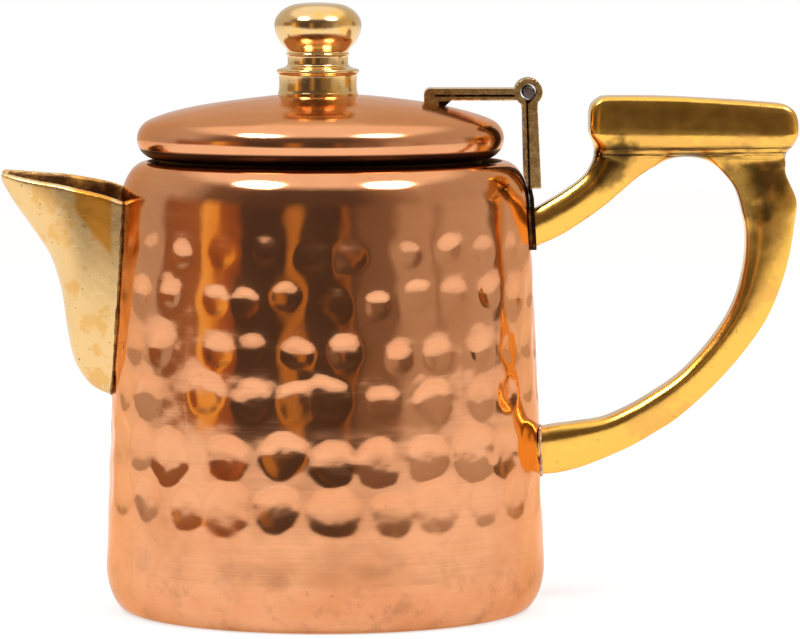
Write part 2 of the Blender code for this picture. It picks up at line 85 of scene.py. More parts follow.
def length(name, text, default, **more):
    """A size that a user may set, in metres."""
    return FloatProperty(name=name, description=text, default=default, unit="LENGTH",
                         subtype="DISTANCE", precision=5, min=0.0, **more)


def colour(name, text, default):
    """A colour that a user may set."""
    return FloatVectorProperty(name=name, description=text, default=default,
                               subtype="COLOR", size=3, min=0.0, max=1.0)


class BodySizes(bpy.types.PropertyGroup):
    """Sizes of the turned and hammered pot."""

    foot_radius: length("Foot radius", "Widest radius, above the base corner", SHELL_HIGH.x)
    height: length("Height", "Base to the crest of the shoulder", SHELL_HIGH.z)
    wall: length("Wall", "Thickness of the copper", 1.0 * MM)
    flare: length("Flare", "How much wider the foot is than the wall's top", 3.0 * MM)
    bulge: length("Bulge", "How far the wall swells at mid height", 0.25 * MM)
    corner_width: length("Corner width", "Base corner, across", 4.6 * MM)
    corner_height: length("Corner height", "Base corner, up", 9.3 * MM)
    shoulder_width: length("Shoulder width", "Shoulder, across", 5.4 * MM)
    shoulder_height: length("Shoulder height", "Shoulder, up", 9.4 * MM)
    lip_bend: length("Lip bend", "Radius of the bend at the mouth", 0.6 * MM)
    ledge_depth: length("Ledge depth", "Crest down to the ledge", 1.6 * MM)
    ledge_width: length("Ledge width", "Ledge that carries the lid", 4.5 * MM)
    columns: IntProperty(name="Columns", description="Faces around the pot", default=460)
    row_pitch: length("Row pitch", "Height of one row of faces", 0.5 * MM)
    blow_depth: length("Blow depth", "Depth of the deepest hammer mark", 0.34 * MM)
    wave_height: length("Wave height", "How far the beaten wall wanders", 0.07 * MM)
    hole_radius: length("Hole radius", "Radius of a strainer hole", 1.5 * MM)
    hole_pitch: length("Hole pitch", "Distance between strainer holes", 4.6 * MM)
    hole_rows: IntProperty(name="Hole rows", description="Rows of holes", default=5)
    holes_below_crest: length("Holes below crest", "Crest to the top row", 14.0 * MM)


class LidSizes(bpy.types.PropertyGroup):
    """Sizes of the lid, its knob and what holds them."""

    sheet: length("Sheet", "Thickness of the lid's copper", 0.9 * MM)
    roll_radius: length("Roll radius", "Radius of the rolled rim", 4.1 * MM)
    crown: length("Crown", "Curve handle at the dome's top", 15.0 * MM)
    haunch: length("Haunch", "Curve handle at the rim", 6.0 * MM)
    screw_hole: length("Screw hole", "Radius of the hole for the screw", 2.3 * MM)
    unevenness: length("Unevenness", "How far the beaten dome wanders", 0.12 * MM)
    knob_sink: length("Knob sink", "How far the knob's foot beds in", 0.45 * MM)


class FittingSizes(bpy.types.PropertyGroup):
    """Sizes of the spout, the handle and the hinge."""

    spout_wall: length("Spout wall", "Thickness of the spout's brass", 1.4 * MM)
    spout_half_width: length("Spout half width", "At the root", 9.6 * MM)
    handle_half_width: length("Handle half width", "Across the loop", 4.2 * MM)
    thumb_half_width: length("Thumb rest half width", "Across the rest", HANDLE_HIGH.y)
    strap: length("Strap", "Thickness of one layer of strap", 1.2 * MM)
    seam_depth: length("Seam depth", "Depth of the seam between the straps", 0.5 * MM)
    strap_seam: length("Strap seam", "Gap between the folded layers", 0.45 * MM)
    pin_play: length("Pin play", "Gap round the hinge pin", 0.3 * MM)
    bead_radius: length("Bead radius", "Radius of a solder bead", 0.36 * MM)
    casting_grain: length("Casting grain", "Edge of the cells of a casting", 0.33 * MM)
    strap_grain: length("Strap grain", "Edge of the cells of a strap", 0.15 * MM)


class Finishes(bpy.types.PropertyGroup):
    """Base colours of the metals."""

    copper: colour("Copper", "Polished copper", (0.75, 0.345, 0.170))
    deep_copper: colour("Deep copper", "Copper that has begun to darken", (0.60, 0.22, 0.085))
    # This oxide colour also paints shade: inside the pot and its mouth, under the lid and in its
    # ring, round the handle's crease and on the hinge straps.
    oxide_and_shade: colour("Oxide", "Dark oxide on copper and brass", (0.020, 0.009, 0.005))
    handle_brass: colour("Handle brass", "Polished golden brass", (0.89, 0.50, 0.095))
    spout_brass: colour("Spout brass", "Pale brass", (0.77, 0.52, 0.235))
    gold: colour("Gold", "Deeper golden patches on brass", (0.72, 0.38, 0.09))
    strap_brass: colour("Strap brass", "Dull brass strap", (0.80, 0.52, 0.21))
    dull_strap: colour("Dull strap", "Browned places on the strap", (0.34, 0.19, 0.07))
    # Painted reflection: the warm patch on the spout's side takes this colour.
    reflection_brass: colour("Warm brass", "Brass coloured by the soldering heat", (0.72, 0.32, 0.045))
    solder: colour("Solder", "Silvery solder", (0.62, 0.50, 0.40))
    pin: colour("Pin", "Greyed pin", (0.27, 0.21, 0.20))


class StudioSettings(bpy.types.PropertyGroup):
    """Camera and light."""

    distance: length("Camera distance", "Camera to the jug's axis", 1.0)
    camera_height: length("Camera height", "Above the floor", 0.1365)
    aim_x: length("Aim across", "Where the camera looks, across", 0.015)
    aim_z: length("Aim height", "Where the camera looks, up", 0.058)
    lens: FloatProperty(name="Lens", description="Focal length in mm", default=225.0)
    table_front: length("Table front", "Front edge of the table", 0.33)
    table_lip: length("Table lip", "How far the front edge turns up", 0.025)
    table_half: length("Table half", "Half the table's other sizes", 1.6)


# Outlines --------------------------------------------------------------------

def arc(centre, radii, start, end, steps):
    """Points of an ellipse's arc, with angles in degrees from +X."""
    turns = np.radians(np.linspace(start, end, steps + 1))
    return [(centre[0] + radii[0] * math.cos(a), centre[1] + radii[1] * math.sin(a))
            for a in turns]


def bezier(p0, p1, p2, p3, steps):
    """Points of a cubic curve with two handles."""
    ends = [np.array(p, float) for p in (p0, p1, p2, p3)]
    points = []
    for t in np.linspace(0, 1, steps + 1):
        weights = ((1 - t) ** 3, 3 * t * (1 - t) ** 2, 3 * t * t * (1 - t), t ** 3)
        points.append(tuple(sum(w * p for w, p in zip(weights, ends))))
    return points


def smooth_rows(rows, steps):
    """Rows of numbers read from a smooth curve through the given rows."""
    padded = np.array([rows[0], *rows, rows[-1]], float)
    curve = []
    for p, q, r, s in zip(padded, padded[1:], padded[2:], padded[3:]):
        for t in np.arange(steps) / steps:
            curve.append(0.5 * (2 * q + (r - p) * t + (2 * p - 5 * q + 4 * r - s) * t * t
                                + (3 * q - p - 3 * r + s) * t ** 3))
    return curve + [padded[-1]]


def body_radius(sizes, z):
    """Outer radius of the unhammered body at a height above the base corner."""
    shoulder_z = sizes.height - sizes.shoulder_height
    if z > shoulder_z:
        up = min((z - shoulder_z) / sizes.shoulder_height, 1.0)
        crest = sizes.foot_radius - sizes.flare - sizes.shoulder_width
        return crest + sizes.shoulder_width * math.sqrt(1 - up * up)
    t = (z - sizes.corner_height) / (shoulder_z - sizes.corner_height)
    return sizes.foot_radius - sizes.flare * t + 4 * sizes.bulge * t * (1 - t)


def body_outline(sizes):
    """The pot's section from the middle of its base round to the inside's middle."""
    s = sizes
    crest = s.foot_radius - s.flare - s.shoulder_width
    mouth = crest - s.lip_bend
    shoulder_z = s.height - s.shoulder_height
    ledge_z = s.height - s.ledge_depth
    flat = s.foot_radius - s.corner_width
    base = [(flat * share, 0.0) for share in (0.0, 0.3, 0.6, 0.85, 0.95)]
    corner = arc((flat, s.corner_height), (s.corner_width, s.corner_height), -90, 0, 16)
    rows = round((shoulder_z - s.corner_height) / s.row_pitch)
    heights = np.linspace(s.corner_height, shoulder_z, rows + 1)[1:-1]
    wall = [(body_radius(s, z), z) for z in heights]
    shoulder = arc((crest, shoulder_z), (s.shoulder_width, s.shoulder_height), 0, 90, 20)
    lip = arc((crest, s.height - s.lip_bend), (s.lip_bend, s.lip_bend), 90, 180, 5)[1:]
    under = ledge_z - s.wall
    ledge = [(mouth, ledge_z), (mouth - s.ledge_width, ledge_z),
             (mouth - s.ledge_width, under)]
    tilt = math.degrees(math.asin((under - shoulder_z) / (s.shoulder_height - s.wall)))
    inside = arc((crest, shoulder_z), (s.shoulder_width - s.wall, s.shoulder_height - s.wall),
                 tilt, 0, 5)
    inside += [(body_radius(s, z) - s.wall, z)
               for z in np.linspace(shoulder_z, s.corner_height, 5)[1:-1]]
    inside += arc((flat, s.corner_height), (s.corner_width - s.wall,
                                            s.corner_height - s.wall), 0, -90, 6)
    floor = [(flat * share, s.wall) for share in (0.9, 0.6, 0.3, 0.0)]
    return base + corner + wall + shoulder + lip + ledge + inside + floor


def lid_outline(sizes):
    """The lid's section from the screw's hole round the rim and back, about its axis."""
    radius = (LID_HIGH.x - LID_LOW.x) / 2
    top = LID_HIGH.z
    centre = (radius - sizes.roll_radius, LID_LOW.z + sizes.roll_radius)

    def skin(inset, steps):
        reach = sizes.roll_radius - inset
        roll = arc(centre, (reach, reach), 65, -90, steps)
        slope = np.array((-math.sin(math.radians(65)), math.cos(math.radians(65))))
        haunch = np.array(roll[0]) + slope * sizes.haunch
        dome = bezier((0.0, top - inset), (sizes.crown, top - inset), haunch, roll[0], 2 * steps)
        return [p for p in dome[:-1] if p[0] > sizes.screw_hole] + roll

    outer = skin(0.0, 26)
    inner = skin(sizes.sheet, 12)[::-1]
    hole = sizes.screw_hole
    return [(hole, top)] + outer + inner + [(hole, top - sizes.sheet)]


# Mesh tools -------------------------------------------------------------------

def linked(name, data):
    """An object of some data, in the scene."""
    piece = bpy.data.objects.new(name, data)
    bpy.context.scene.collection.objects.link(piece)
    return piece


def shown(name, mesh, materials, sharp=50):
    """An object of a mesh at the origin, smooth on its round faces."""
    mesh.shade_smooth()
    mesh.set_sharp_from_angle(angle=math.radians(sharp))
    for finish in materials:
        mesh.materials.append(finish)
    return linked(name, mesh)


def mesh_of(name, bm):
    """A mesh of a bmesh with its faces pointing out."""
    bmesh.ops.remove_doubles(bm, verts=bm.verts, dist=0.002 * MM)
    bmesh.ops.recalc_face_normals(bm, faces=bm.faces)
    mesh = bpy.data.meshes.new(name)
    bm.to_mesh(mesh)
    bm.free()
    return mesh


def turned_mesh(name, outline, steps, centre=(0.0, 0.0)):
    """Turn a section of (radius, height); one that leaves the axis is closed to a ring."""
    bm = bmesh.new()
    turns = [2 * math.pi * i / steps for i in range(steps)]
    rings = []
    for r, z in outline:
        if r < 1e-7:
            rings.append([bm.verts.new((centre[0], centre[1], z))] * steps)
        else:
            rings.append([bm.verts.new((centre[0] + r * math.cos(a),
                                        centre[1] + r * math.sin(a), z)) for a in turns])
    if outline[0][0] > 1e-7:
        rings.append(rings[0])
    for a, b in zip(rings, rings[1:]):
        for i in range(steps):
            corners = dict.fromkeys((a[i], a[(i + 1) % steps], b[(i + 1) % steps], b[i]))
            if len(corners) > 2:
                bm.faces.new(corners)
    return mesh_of(name, bm)


def lofted(bm, rings):
    """Skin closed rings of points one after another, with a face over each end."""
    made = [[bm.verts.new(co) for co in ring] for ring in rings]
    for a, b in zip(made, made[1:]):
        for i in range(len(a)):
            j = (i + 1) % len(a)
            bm.faces.new((a[i], a[j], b[j], b[i]))
    bm.faces.new(made[0])
    bm.faces.new(made[-1])


def extruded(bm, outline, low, high):
    """Extrude an outline of (x, z) from one y to another."""
    lofted(bm, [[(x, y, z) for x, z in outline] for y in (low, high)])


def rectangle(x0, z0, x1, z1):
    """The outline of a rectangle from its low corner to its high one."""
    return [(x0, z0), (x1, z0), (x1, z1), (x0, z1)]


def scratch(name, bm):
    """A throwaway object of a bmesh, for the modifiers."""
    return linked(name, mesh_of(name, bm))


def settled(piece, name, tools=()):
    """The mesh that a piece's modifiers give; the piece and its tools go."""
    evaluated = piece.evaluated_get(bpy.context.evaluated_depsgraph_get())
    mesh = bpy.data.meshes.new_from_object(evaluated)
    mesh.name = name
    for item in (piece, *tools):
        bpy.data.objects.remove(item)
    return mesh


def cut(piece, tools):
    """Cut tools out of a piece."""
    for tool in tools:
        change = piece.modifiers.new(tool.name, "BOOLEAN")
        change.operation = "DIFFERENCE"
        change.object = tool


def cast(piece, name, grain, rounds, tools=()):
    """Merge a rough piece to one skin of even cells, with its edges worn round."""
    cut(piece, tools)
    skin = piece.modifiers.new("skin", "REMESH")
    skin.mode = "VOXEL"
    skin.voxel_size = grain
    wear = piece.modifiers.new("wear", "SMOOTH")
    wear.factor = 0.5
    wear.iterations = rounds
    return settled(piece, name, tools)


def trimmed(mesh, name, tools):
    """A mesh with tools cut out of it; the tools go."""
    piece = linked(name + "_cut", mesh)
    cut(piece, tools)
    return settled(piece, name, tools)


def body_plug(sizes):
    """A solid of the body's outer shape that trims what is soldered to it."""
    heights = np.linspace(sizes.corner_height / 2, sizes.height - 0.2 * MM, 60)
    side = [(body_radius(sizes, max(z, sizes.corner_height)) - BEDDING, z) for z in heights]
    outline = [(0.0, side[0][1])] + side + [(0.0, side[-1][1])]
    return linked("plug", turned_mesh("plug", outline, 360))


def place(piece, body, slot, *nodes):
    """Fasten a finished piece to its body and let it stand for its nodes."""
    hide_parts(*nodes)
    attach(piece, body)


# Node tools -------------------------------------------------------------------

class Tree:
    """Adds nodes to a node tree and links what they read."""

    def __init__(self, tree):
        self.tree = tree

    def add(self, kind, inputs=(), **settings):
        node = self.tree.nodes.new(kind)
        for key, value in settings.items():
            setattr(node, key, value)
        for key, value in dict(inputs).items():
            self.set(node.inputs[key], value)
        return node

    def set(self, socket, value):
        if isinstance(value, bpy.types.NodeSocket):
            self.tree.links.new(value, socket)
        else:
            socket.default_value = value

    def math(self, operation, a, b=0.0, clamp=False):
        return self.add("ShaderNodeMath", {0: a, 1: b}, operation=operation,
                        use_clamp=clamp).outputs[0]

    def vector(self, operation, inputs):
        return self.add("ShaderNodeVectorMath", inputs, operation=operation).outputs

    def height(self, place):
        return self.add("ShaderNodeSeparateXYZ", {0: place}).outputs["Z"]

    def noise(self, scale, detail, **more):
        inputs = {"Scale": scale, "Detail": detail, **more}
        return self.add("ShaderNodeTexNoise", inputs).outputs["Fac"]

    def mixed(self, amount, a, b):
        node = self.add("ShaderNodeMix", data_type="RGBA")
        for key, value in (("Factor", amount), (6, a), (7, b)):
            self.set(node.inputs[key], value)
        return node.outputs[2]

    def range(self, value, low, high, to_low=0.0, to_high=1.0):
        inputs = {"Value": value, "From Min": low, "From Max": high,
                  "To Min": to_low, "To Max": to_high}
        return self.add("ShaderNodeMapRange", inputs).outputs[0]


class Metal(Tree):
    """A metal's node tree, with what the finishes share."""

    def __init__(self, name):
        self.material = bpy.data.materials.new(name)
        self.material.use_nodes = True
        super().__init__(self.material.node_tree)
        self.shader = self.tree.nodes["Principled BSDF"]
        self.shader.inputs["Metallic"].default_value = 1.0
        self.where = self.add("ShaderNodeTexCoord").outputs["Object"]

    def noise(self, scale, detail=3.0, roughness=0.55, stretch=None):
        where = self.where
        if stretch:
            where = self.add("ShaderNodeMapping", {"Vector": where, "Scale": stretch}).outputs[0]
        return super().noise(scale, detail, Vector=where, Roughness=roughness)

    def attribute(self, name):
        return self.add("ShaderNodeAttribute", attribute_name=name).outputs["Fac"]

    def blend(self, amount, a, b):
        a, b = (v if isinstance(v, bpy.types.NodeSocket) else (*v, 1.0) for v in (a, b))
        return self.mixed(amount, a, b)

    def bump(self, height, distance, strength=1.0, normal=None):
        inputs = {"Height": height, "Distance": distance, "Strength": strength}
        if normal:
            inputs["Normal"] = normal
        return self.add("ShaderNodeBump", inputs).outputs[0]

    def finish(self, colour, roughness, normal):
        self.set(self.shader.inputs["Base Color"], colour)
        self.set(self.shader.inputs["Roughness"], roughness)
        self.set(self.shader.inputs["Normal"], normal)
        return self.material


def finishes():
    """The base colours of the metals."""
    return bpy.context.scene.jug_finishes


# Finishes -----------------------------------------------------------------------

# How copper tints what it reflects near its outline.
COPPER_EDGE = (1.0, 0.72, 0.52, 1.0)


def hammered_copper():
    """Polished copper with turned brush lines, tarnish low down, small pits, painted shade along
    the marks' rims and near-black painted shade inside.
    """
    tint = finishes()
    m = Metal("hammered_copper")
    height = m.height(m.where)
    lines = m.noise(1.0, 4.0, 0.65, (45.0, 45.0, 3200.0))
    upright = m.noise(1.0, 4.0, 0.65, (2600.0, 2600.0, 70.0))
    clouds = m.noise(70.0, 4.0)
    speckle = m.noise(900.0, 2.0)
    low = m.range(height, 0.034, 0.004)
    worn = m.math("MULTIPLY", low, m.range(clouds, 0.42, 0.72), clamp=True)
    ring = m.attribute("ring")
    inside = m.attribute("inside")
    base = m.blend(m.range(clouds, 0.40, 0.75, 0.0, 0.45), tint.copper, tint.deep_copper)
    base = m.blend(m.range(lines, 0.45, 0.75, 0.0, 0.18), base, tint.deep_copper)
    # Painted shade: the ridge round each hammer mark is darkened towards deep copper.
    base = m.blend(m.math("MULTIPLY", ring, 0.3), base, tint.deep_copper)
    base = m.blend(m.math("MULTIPLY", worn, 0.45), base, tint.deep_copper)
    foot = m.range(height, 0.022, 0.004, 0.0, 0.32)
    stain = m.range(m.noise(120.0, 6.0, 0.7), 0.50, 0.68)
    base = m.blend(m.math("MULTIPLY", foot, stain), base, tint.oxide_and_shade)
    pits = m.math("MULTIPLY", m.range(speckle, 0.70, 0.78), m.range(clouds, 0.5, 0.65))
    base = m.blend(m.math("MULTIPLY", pits, 0.7, clamp=True), base, tint.oxide_and_shade)
    # Painted shade: the pot's inside and the ledge in its mouth under the lid are painted near
    # black and made rougher.
    base = m.blend(m.math("MULTIPLY", inside, 0.9), base, tint.oxide_and_shade)
    roughness = m.math("ADD", m.range(lines, 0.3, 0.7, 0.07, 0.13),
                       m.math("MULTIPLY", m.math("ADD", low, worn), 0.09))
    roughness = m.math("ADD", roughness, m.math("MULTIPLY", inside, 0.3))
    normal = m.bump(lines, 0.001 * MM)
    normal = m.bump(upright, 0.001 * MM, 1.0, normal)
    normal = m.bump(speckle, 0.006 * MM, 0.5, normal)
    m.shader.inputs["Specular Tint"].default_value = COPPER_EDGE
    return m.finish(base, roughness, normal)


def lid_copper():
    """Polished copper with faint round brush lines, painted dark underneath as shade."""
    tint = finishes()
    m = Metal("lid_copper")
    lines = m.noise(1.0, 3.0, 0.6, (90.0, 90.0, 5000.0))
    clouds = m.noise(55.0, 4.0)
    speckle = m.noise(1100.0, 2.0)
    inside = m.attribute("inside")
    base = m.blend(m.range(clouds, 0.40, 0.75, 0.0, 0.4), tint.copper, tint.deep_copper)
    base = m.blend(m.range(speckle, 0.72, 0.8, 0.0, 0.6), base, tint.oxide_and_shade)
    # Painted shade: the rim's underside, the dome's hollow and the ring in the mouth are painted
    # near black.
    base = m.blend(m.math("MULTIPLY", inside, 0.96), base, tint.oxide_and_shade)
    roughness = m.math("ADD", m.range(clouds, 0.3, 0.7, 0.10, 0.17),
                       m.math("MULTIPLY", inside, 0.3))
    normal = m.bump(lines, 0.006 * MM)
    m.shader.inputs["Specular Tint"].default_value = COPPER_EDGE
    return m.finish(base, roughness, m.bump(speckle, 0.008 * MM, 0.5, normal))


# For each brass: its colour, its patches' colour, roughness, the patches' scale, the
# stretch of its file lines and how dark its pits are.
BRASSES = {
    "handle_brass": ("handle_brass", "gold", 0.13, 90.0, (300.0, 2500.0, 300.0), 0.5),
    "spout_brass": ("spout_brass", "gold", 0.24, 150.0, (500.0, 500.0, 900.0), 0.9),
    "knob_brass": ("spout_brass", "handle_brass", 0.08, 120.0, (90.0, 90.0, 5000.0), 0.5),
    "strap_brass": ("strap_brass", "dull_strap", 0.20, 420.0, (900.0, 900.0, 900.0), 0.6),
    "fixing_brass": ("spout_brass", "strap_brass", 0.26, 300.0, (2000.0, 2000.0, 400.0), 0.6),
}
CREASE_DROP = 10.8 * MM            # handle's top to the crease under the thumb rest
CREASE_BAND_BELOW, CREASE_BAND_ABOVE = 2.0 * MM, 1.2 * MM      # band of file marks painted dark as shade about the crease
# Patches of painted shade round the crease, in millimetres: back from the handle's far side,
# below the dark band's middle, and reach.
SHADE_PATCHES = ((8.5, 6.0, 9.8), (38.0, 3.0, 6.5), (32.0, 1.0, 5.5))
SHADE_PATCH_FADE = 2.4                    # millimetres over which a patch of painted shade fades


def crease_marks_and_shade(m, base):
    """Coarse file marks along X painted dark as shade in the handle's crease, and patches of
    painted shade round it.
    """
    tint = finishes()
    height = m.height(m.where)
    crease = HANDLE_HIGH.z - CREASE_DROP
    lowest, highest = crease - CREASE_BAND_BELOW, crease + CREASE_BAND_ABOVE
    middle, spread = (lowest + highest) / 2, (highest - lowest) / 2
    off = m.math("ABSOLUTE", m.math("SUBTRACT", height, middle))
    band = m.range(off, spread, 0.5 * spread)
    marks = m.range(m.noise(1.0, 3.0, 0.7, (60.0, 300.0, 1700.0)), 0.46, 0.54)
    marks = m.math("MULTIPLY", marks, band, clamp=True)
    base = m.blend(m.math("MULTIPLY", marks, 0.85), base, tint.oxide_and_shade)
    edge = m.range(m.noise(130.0, 3.0, 0.5), 0.3, 0.7, -2 * MM, 5 * MM)
    for along, drop, reach in SHADE_PATCHES:
        bend = (HANDLE_HIGH.x - along * MM, HANDLE_LOW.y, middle - drop * MM)
        near = m.vector("DISTANCE", {0: m.where, 1: bend})["Value"]
        amount = m.range(m.math("ADD", near, edge), reach * MM, (reach - SHADE_PATCH_FADE) * MM,
                         0.0, 0.66)
        base = m.blend(amount, base, tint.oxide_and_shade)
    return base


def brass(name):
    """Brass with deeper patches, fine file lines and small casting pits; on the spout a painted
    reflection, on the handle painted shade round the crease.
    """
    tint = finishes()
    base, patch, rough, patch_scale, grain, pitted = BRASSES[name]
    m = Metal(name)
    clouds = m.noise(patch_scale, 5.0, 0.6)
    file_lines = m.noise(1.0, 4.0, 0.65, grain)
    speckle = m.noise(1300.0, 2.0)
    base = m.blend(m.range(clouds, 0.52, 0.57, 0.0, 0.6), getattr(tint, base),
                   getattr(tint, patch))
    if name == "spout_brass":
        # Painted reflection: a warm patch on one side of the spout.
        painted_reflection = m.math("MULTIPLY", m.attribute("reflection_patch"), m.range(clouds, 0.3, 0.6, 0.85, 1.0))
        base = m.blend(painted_reflection, base, tint.reflection_brass)
    base = m.blend(m.range(speckle, 0.70, 0.76, 0.0, pitted), base, tint.oxide_and_shade)
    if name == "handle_brass":
        base = crease_marks_and_shade(m, base)
    roughness = m.math("ADD", m.range(clouds, 0.3, 0.7, rough, rough + 0.08),
                       m.range(file_lines, 0.35, 0.7, 0.0, 0.07))
    normal = m.bump(file_lines, 0.012 * MM)
    return m.finish(base, roughness, m.bump(speckle, 0.02 * MM, 0.4, normal))


def dark_inside():
    """Rough dark oxide, as on brass that is never polished."""
    tint = finishes()
    m = Metal("dark_inside")
    clouds = m.noise(260.0, 5.0, 0.65)
    base = m.blend(m.range(clouds, 0.45, 0.75), (0.16, 0.075, 0.030), tint.gold)
    roughness = m.range(clouds, 0.3, 0.7, 0.38, 0.55)
    return m.finish(base, roughness, m.bump(m.noise(900.0, 4.0), 0.12 * MM))


# For each duller metal: its two colours, the scale of its clouds, where in the clouds the
# second colour starts and ends, its roughness and the depth of its grain.
CLOUDED = {
    # Painted shade on the hinge straps: their seams, forks and the strap's foot; the stem's tail
    # is painted dark as well.
    "soot": ("oxide_and_shade", "dull_strap", 900.0, (0.55, 0.75), (0.35, 0.6), 0.1 * MM),
    "solder": ("solder", "deep_copper", 500.0, (0.45, 0.75), (0.25, 0.42), 0.08 * MM),
    "pin_metal": ("pin", "oxide_and_shade", 700.0, (0.42, 0.6), (0.3, 0.5), 0.06 * MM),
}


def clouded(name):
    """A dull metal: the straps' painted shade, silvery solder, or the pin's grey."""
    tint = finishes()
    first, second, scale, edges, rough, grain = CLOUDED[name]
    m = Metal(name)
    clouds = m.noise(scale, 4.0)
    base = m.blend(m.range(clouds, *edges), getattr(tint, first), getattr(tint, second))
    return m.finish(base, m.range(clouds, 0.3, 0.7, *rough), m.bump(clouds, grain))


# Hammer marks, with one row for each round of blows: height in millimetres, mark
# radius in millimetres, share of the full depth, lean (above 0 is deeper at the top),
# the angles in degrees of the marks that are listed one by one on the front (0 faces the
# viewer, + is the handle's side), and the spacing of the others.
ROUNDS = (
    (74.2, 3.2, 0.50, -0.95, (-54, -42, -27.5, -16, -3, 7, 24, 37, 50), 13.0),
    (64.8, 3.0, 0.70, -0.4, (-58, -46, -29, -21, -9.5, 3.5, 15, 26, 38, 51, 64), 12.5),
    (54.7, 3.2, 0.75, -0.4, (-62, -49, -29, -18, -6.5, 6.5, 20, 32.5, 46, 60), 11.5),
    (45.2, 3.8, 0.95, 0.0, (-68, -55, -31.5, -19, -6.5, 1, 16, 29.5, 46, 59), 12.5),
    (34.4, 4.8, 1.15, 0.2, (-70, -57, -45, -25.5, -10, 2, 15, 28, 44, 57), 13.0),
    (24.4, 4.8, 0.95, 0.1, (-67, -53, -37, -25, -12, 3, 19, 31, 47, 61), 13.5),
    (15.0, 4.6, 0.12, 0.0, (-60, -46, -35, -24, -11, 2, 13, 27, 40, 54), 13.0),
)


RIM_HEIGHT = 0.02 * MM             # ridge thrown up round a mark
RIM_WIDTH = 0.16                   # half width of that ridge, in mark radii
RIM_DEPTHS = (0.05 * MM, 0.30 * MM)                # depths of mark with no rim and full rim
SKIRT = 0.65                       # how far the copper sinks round a mark, as a share
SKIRT_REACH = 1.9                  # how far out it sinks, in mark radii
SKIRT_HEIGHTS = (0.038, 0.050)     # heights between which that begins
UNTOUCHED = 0.00001                # less dent than this is no mark
DRILL_LENGTH = 12 * MM             # of the cutters for the strainer's holes
WORKED_FROM = 8 * MM               # lowest worked height
WORKED_PAST = 3 * MM               # how far past the crest the work would reach
WORK_FADE = 6 * MM                 # height over which the work fades


def blow_mesh(sizes):
    """One point for each hammer blow, with its radius, its depth and its lean."""
    rng = np.random.default_rng(11)
    points, radii, depths, leans = [], [], [], []
    for height, radius, share, lean, front, spacing in ROUNDS:
        gap = 360.0 - front[-1] + front[0]
        spare = round(gap / spacing) - 1
        rest = [front[-1] + gap * (i + 1) / (spare + 1) for i in range(spare)]
        for angle in (*front, *rest):
            by_hand = rng.uniform(-1, 1, 5)
            turn = math.radians(angle + 0.8 * by_hand[0])
            z = (height + 1.2 * by_hand[1]) * MM
            r = body_radius(sizes, z)
            points.append((r * math.sin(turn), -r * math.cos(turn), z))
            radii.append(radius * (1 + 0.16 * by_hand[2]) * MM)
            depths.append(sizes.blow_depth * share * (1 + 0.35 * by_hand[3]))
            leans.append(lean + 0.35 * by_hand[4])
    mesh = bpy.data.meshes.new("blows")
    mesh.from_pydata(points, [], [])
    for name, values in (("radius", radii), ("depth", depths), ("lean", leans)):
        stored(mesh, name, values)
    return mesh


def node_group(name, inputs):
    """The tree of a new node group, and what its inputs, and its finish, give."""
    group = bpy.data.node_groups.new(name, "GeometryNodeTree")
    for label, kind in {**inputs, "Finish": "Material"}.items():
        group.interface.new_socket(label, in_out="INPUT", socket_type="NodeSocket" + kind)
    group.interface.new_socket("Geometry", in_out="OUTPUT", socket_type="NodeSocketGeometry")
    t = Tree(group)
    return t, t.add("NodeGroupInput").outputs


def given_out(t, given, node):
    """A node group that ends by making real what a node gives, in its finish."""
    real = t.add("GeometryNodeRealizeInstances", {"Geometry": node.outputs[0]})
    done = t.add("GeometryNodeSetMaterial",
                 {"Geometry": real.outputs[0], "Material": given["Finish"]})
    t.set(t.add("NodeGroupOutput").inputs[0], done.outputs[0])
    return t.tree


